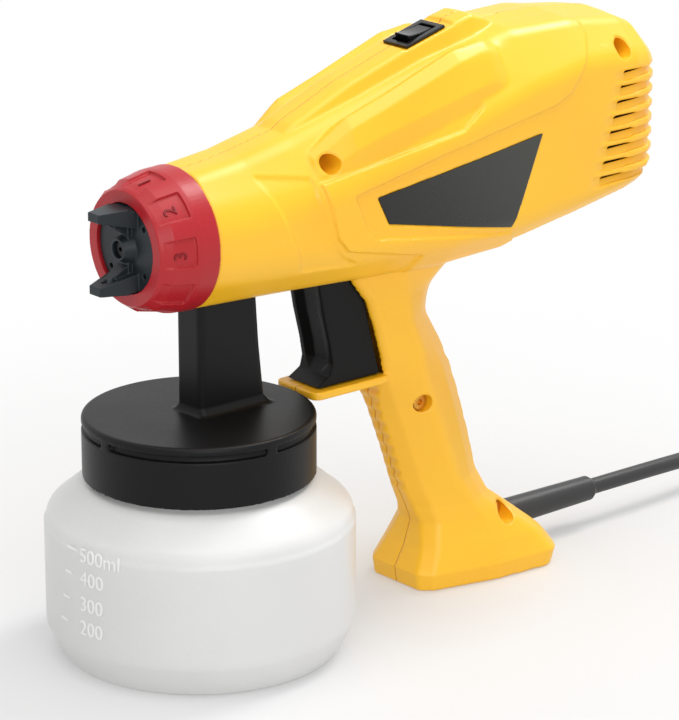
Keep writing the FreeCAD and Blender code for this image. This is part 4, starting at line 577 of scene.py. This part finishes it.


# Side plate
# A thin bare plate in dark grey plastic lies flush in a recess of the left half. A painted reflection makes
# it lighter toward its upper rear corner.
def plate_with_painted_reflection():
    """Satin dark grey plastic with a painted reflection that goes from black in front to slate grey at the
    rear.
    """
    material = moulded("plate_plastic", (0.004, 0.004, 0.004), 0.30, drift=0.04, shine=0.45)
    shader = material.node_tree.nodes["Principled BSDF"]
    start = Wire(material.node_tree)
    place = start.add("TexCoord", out="Object")
    # Painted reflection: the base colour lightens along a line up and back, as a reflection of the bright
    # room would.
    up_and_back = (-0.79, 0.0, 0.61)
    toward = start.add("VectorMath", {0: place, 1: up_and_back}, out="Value", operation="DOT_PRODUCT")
    tone = toward.fade(0.145, 0.235).blend(feed(material, "Base Color"), (0.040, 0.042, 0.034, 1.0))
    start.join(tone, shader.inputs["Base Color"])
    return material


softened("plate_left", "side_plate", "housing", plate_with_painted_reflection(), grid=0.0003, passes=6)


# Switch
# A snap-in rocker switch sits on top of the spine: a glossy black bezel and a key with a dished top, whose
# front end stands up while the sprayer is off.
switch_gloss = moulded("switch_gloss", (0.006, 0.006, 0.0065), 0.22, grain=0.000008, shine=0.4)
softened("bezel", "switch_frame", "housing", switch_gloss, grid=0.00025, passes=5)

switch_middle = Vector((-0.1107, 0.0, 0.2306))
switch_slope = math.radians(16.1)
key_half_width = 0.0041
key_front = 0.0065
key_rear = -0.0062
key_front_rise = 0.0037
key_rear_rise = 0.00145
key_foot_half = 0.0052
key_foot = -0.0042
key_heel_back = 0.0003
key_heel_drop = 0.0008
key_edge = 0.0003
key_dish = 2.2
key_top_steps = 12


def switch_key():
    """Key cut from its side view: a dished top between two steep ends, with all its edges rounded."""
    outline = [(key_foot_half, key_foot)]
    for number in range(key_top_steps + 1):
        share = number / key_top_steps
        outline.append((key_front + (key_rear - key_front) * share,
                        key_rear_rise + (key_front_rise - key_rear_rise) * (1.0 - share) ** key_dish))
    outline += [(key_rear - key_heel_back, key_rear_rise - key_heel_drop), (-key_foot_half, key_foot)]
    form = bmesh.new()
    near = [form.verts.new((x, -key_half_width, z)) for x, z in outline]
    far = [form.verts.new((x, key_half_width, z)) for x, z in outline]
    form.faces.new(near)
    form.faces.new(far[::-1])
    for number in range(len(outline)):
        form.faces.new([near[number - 1], far[number - 1], far[number], near[number]])
    bmesh.ops.recalc_face_normals(form, faces=form.faces)
    sharp = [edge for edge in form.edges if edge.calc_face_angle() > math.radians(30.0)]
    bmesh.ops.bevel(form, geom=sharp, offset=key_edge, segments=3, affect="EDGES")
    form.transform(Matrix.Translation(switch_middle) @ Matrix.Rotation(switch_slope, 4, "Y"))
    return mesh_of("switch_key", form)


key = added("switch_key", switch_key(), switch_gloss, "rocker")
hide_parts("rocker")


# Selector ring
# The crimson union ring holds the air cap and sets the width of the jet. Nine grip hollows run round it, and
# three of them have a raised number from 1 to 3 for the setting, in a darker red that is painted shade.
ring_plastic = moulded("ring_plastic", (0.42, 0.014, 0.020), 0.36, drift=0.05, shade=(0.39, 0.011, 0.017),
                       shine=0.35)
# Painted shade: the raised numbers get a darker red that stands in for the shadow round their edges.
number_painted_shade = moulded("number_painted_shade", (0.22, 0.008, 0.012), 0.45, drift=0.05, shine=0.3)
softened("ring_of_nozzle", "selector_ring", "ring", ring_plastic, grid=0.0003, passes=4)

nozzle_rise = 0.1692
ring_numbers = {"3": 2.0, "2": 42.0, "1": 82.0}
number_height = 0.0052
number_middle = 0.0272
number_radius = 0.0252
number_relief = 0.0009
ring_taper = 0.20


def lettering(name, text, height):
    """Mesh of raised letters, and its corners scaled to a height with the middle at the origin."""
    type_curve = bpy.data.curves.new(name, "FONT")
    type_curve.body = text
    type_curve.extrude = 0.5
    type_curve.resolution_u = 3
    block = bpy.data.objects.new(name, type_curve)
    scene.collection.objects.link(block)
    form = bpy.data.meshes.new_from_object(block.evaluated_get(bpy.context.evaluated_depsgraph_get()))
    bpy.data.objects.remove(block)
    corners = np.array([corner.co[:] for corner in form.vertices])
    low, high = corners.min(0), corners.max(0)
    scale = height / (high[1] - low[1])
    corners -= (low + high) / 2
    corners[:, :2] *= scale
    return form, corners


def ring_number(text, angle):
    """Number on a hollow of the ring: its top points forward, and it reads round the ring."""
    form, corners = lettering("number_" + text, text, number_height)
    for corner, (across, up, out) in zip(form.vertices, corners):
        forward = number_middle + up
        slope = (number_middle - forward) * ring_taper
        radius = number_radius + slope + number_relief * out
        turn = math.radians(angle) + across / number_radius
        corner.co = (forward, radius * math.cos(turn), nozzle_rise + radius * math.sin(turn))
    added("ring_number_" + text, form, number_painted_shade, "ring")


for text, angle in ring_numbers.items():
    ring_number(text, angle)


# Air cap and jet
# The slate grey air cap turns in the ring. Its two horns blow the jet flat, and the blackened steel jet for
# the paint shows through its middle.
cap_plastic = moulded("cap_plastic", (0.012, 0.018, 0.022), 0.42, grain=0.00008, drift=0.05, shine=0.3)
softened("cap_of_nozzle", "air_cap", "cap", cap_plastic, grid=0.00022, passes=5)
dressed("paint_jet", metal("blackened_steel", (0.035, 0.035, 0.037), 0.32, 1800.0, brushed=(0.2, 1.0, 1.0)))
dressed("needle_packing", metal("brass", (0.78, 0.56, 0.26), 0.28, 1800.0, brushed=(0.2, 1.0, 1.0)))


# Lid and neck
# The black lid screws on the cup and is one moulding with the hollow neck that rises to the nozzle. Shallow
# slots break its rim, and a seal, the suction tube and the vent valve hang below it.
lid_plastic = moulded("lid_plastic", (0.0055, 0.0055, 0.0058), 0.40, drift=0.05, shine=0.17)
softened("lid_with_neck", "cup_lid", "housing", lid_plastic, grid=0.0005, passes=7)
dressed("nozzle_body", lid_plastic)
seal_rubber = moulded("seal_rubber", (0.05, 0.05, 0.052), 0.6)
for part in ("cup_seal", "ring_seal", "vent_valve"):
    dressed(part, seal_rubber)
dressed("suction_tube", moulded("tube_plastic", (0.62, 0.63, 0.62), 0.35))


# Cup
# The paint cup is blown in frosted white polyethylene, with a crease under its shoulder. Raised marks on its
# side read 200 to 500 ml.
def frosted():
    """Milky polyethylene: soft light inside it, a faintly cloudy tone and a fine frosted surface."""
    material = moulded("frosted_plastic", (0.76, 0.76, 0.75), 0.36, grain=0.00003, drift=0.015)
    shader = material.node_tree.nodes["Principled BSDF"]
    shader.inputs["Subsurface Weight"].default_value = 0.35
    shader.inputs["Subsurface Radius"].default_value = (0.02, 0.02, 0.02)
    shader.inputs["Subsurface Scale"].default_value = 0.3
    return material


frosted_plastic = frosted()
mark_plastic = moulded("mark_plastic", (0.91, 0.91, 0.90), 0.34, drift=0.01)

cup_radius = 0.0614
cup_wall = 0.0016
cup_outline = [
    (0.0530, 0.0), (0.0546, 0.0004), (0.0556, 0.0014), (0.0607, 0.0120), (0.0613, 0.0136),
    (cup_radius, 0.0155), (cup_radius, 0.0530), (0.0614, 0.0541), (0.0609, 0.0549), (0.0606, 0.0558),
    (0.0603, 0.0574), (0.0596, 0.0590), (0.0584, 0.0604), (0.0566, 0.0618), (0.0490, 0.0681),
    (0.0460, 0.0698), (0.0438, 0.0706), (0.0424, 0.0722), (0.0424, 0.0758), (0.0429, 0.0768),
    (0.0424, 0.0778), (0.0424, 0.0818), (0.0429, 0.0828), (0.0424, 0.0838), (0.0424, 0.0907)]
cup_neck = 0.0720
cup_steps = 128


def blown_cup():
    """The cup turned about its axis: its outline outside, and a plainer one a wall thickness further in."""
    rim = cup_outline[-1]
    smooth = [point for point in cup_outline if point[1] < cup_neck]
    inside = [(rim[0] - cup_wall, rim[1])]
    inside += [(radius - cup_wall, max(height - cup_wall / 4, cup_wall)) for radius, height in smooth[::-1]]
    form = bmesh.new()
    rings = []
    turns = [2 * math.pi * step / cup_steps for step in range(cup_steps)]
    for radius, height in cup_outline + inside:
        rings.append([form.verts.new((radius * math.cos(turn), radius * math.sin(turn), height))
                      for turn in turns])
    walled(form, rings, rings[1:])
    form.faces.new(rings[0])
    form.faces.new(rings[-1])
    bmesh.ops.recalc_face_normals(form, faces=form.faces)
    for face in form.faces:
        face.smooth = True
    return mesh_of("blown_cup", form)


cup = added("blown_cup", blown_cup(), frosted_plastic, "cup")
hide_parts("paint_cup")

mark_relief = 0.00025
mark_height = 0.0058
mark_texts = {"500ml": (13.0, 0.0534), "400": (9.3, 0.0440), "300": (9.0, 0.0334), "200": (8.6, 0.0236)}
mark_ticks = {0.0546: (-3.5, 1.4), 0.0442: (-5.2, -1.4), 0.0334: (-7.2, -3.1), 0.0236: (-9.3, -4.9)}
tick_half_height = 0.0005
tick_steps = 8


def wrapped(name, form, corners):
    """Sets a mark round the side of the cup: each corner is an angle, a height and a rise of the surface."""
    for corner, (angle, height, out) in zip(form.vertices, corners):
        radius = cup_radius + mark_relief * out
        corner.co = (radius * math.cos(angle), radius * math.sin(angle), height)
    added(name, form, mark_plastic, "cup")


for text, (angle, height) in mark_texts.items():
    form, corners = lettering("mark_" + text, text, mark_height)
    wrapped("mark_" + text, form, [(math.radians(angle) + across / cup_radius, height + up, 2 * out)
                                   for across, up, out in corners])

for height, (start, end) in mark_ticks.items():
    low = height - tick_half_height
    high = height + tick_half_height
    form = bmesh.new()
    rings = []
    for step in range(tick_steps + 1):
        angle = math.radians(start + (end - start) * step / tick_steps)
        section = [(angle, low, 0.0), (angle, high, 0.0), (angle, high, 1.0), (angle, low, 1.0)]
        rings.append([form.verts.new(corner) for corner in section])
    walled(form, rings, rings[1:])
    form.faces.new(rings[0])
    form.faces.new(rings[-1][::-1])
    bmesh.ops.recalc_face_normals(form, faces=form.faces)
    tick_mesh = mesh_of("tick", form)
    wrapped("tick_%d" % round(height * 1e4), tick_mesh, [corner.co[:] for corner in tick_mesh.vertices])


# Trigger
# The black finger trigger has flat cheeks and a channel down its front, and swings on a steel pin under the
# nose.
trigger_plastic = moulded("trigger_plastic", (0.0055, 0.0055, 0.0058), 0.42, drift=0.05, shine=0.14)
softened("finger_trigger", "trigger", "trigger", trigger_plastic, grid=0.0004, passes=6)
bright_steel = metal("bright_steel", (0.66, 0.65, 0.63), 0.22, 1600.0, brushed=(0.15, 1.0, 1.0))
for part in ("trigger_pin", "needle", "needle_spring"):
    dressed(part, bright_steel)


# Motor and turbine
# A brushed motor on two rubber rings turns a plastic rotor in its casing. An air duct and a guide for the
# needle lie ahead of it. None of them shows but through the louvres.
inner_plastic = moulded("inner_plastic", (0.045, 0.045, 0.045), 0.5)
for part in ("air_duct", "needle_guide", "turbine_casing", "cord_clamp"):
    dressed(part, inner_plastic)
for part in ("motor_ring_front", "motor_ring_rear"):
    dressed(part, seal_rubber)
dressed("turbine_rotor", moulded("rotor_plastic", (0.30, 0.31, 0.31), 0.45))
dressed("motor", metal("motor_steel", (0.42, 0.42, 0.42), 0.38, 700.0, brushed=(1.0, 0.3, 0.3)))


# Air filter
# A grey foam pad lies over the filter cover in the underside and keeps spray dust out of the turbine.
def foam():
    """Open-cell foam: small dark pores all over a grey pad."""
    material = bpy.data.materials.new("filter_foam")
    material.use_nodes = True
    shader = material.node_tree.nodes["Principled BSDF"]
    start = Wire(material.node_tree)
    pores = start.add("TexVoronoi", {"Vector": start.add("TexCoord", out="Object"), "Scale": 700.0})
    walls = pores.fade(0.2, 0.6)
    start.join(walls.blend((0.02, 0.02, 0.022, 1.0), (0.11, 0.11, 0.115, 1.0)), shader.inputs["Base Color"])
    start.join(0.95 - walls * 0.1, shader.inputs["Roughness"])
    bumps = start.add("Bump", {"Height": walls, "Strength": 0.8, "Distance": 0.0004})
    start.join(bumps, shader.inputs["Normal"])
    return material


dressed("air_filter", foam())
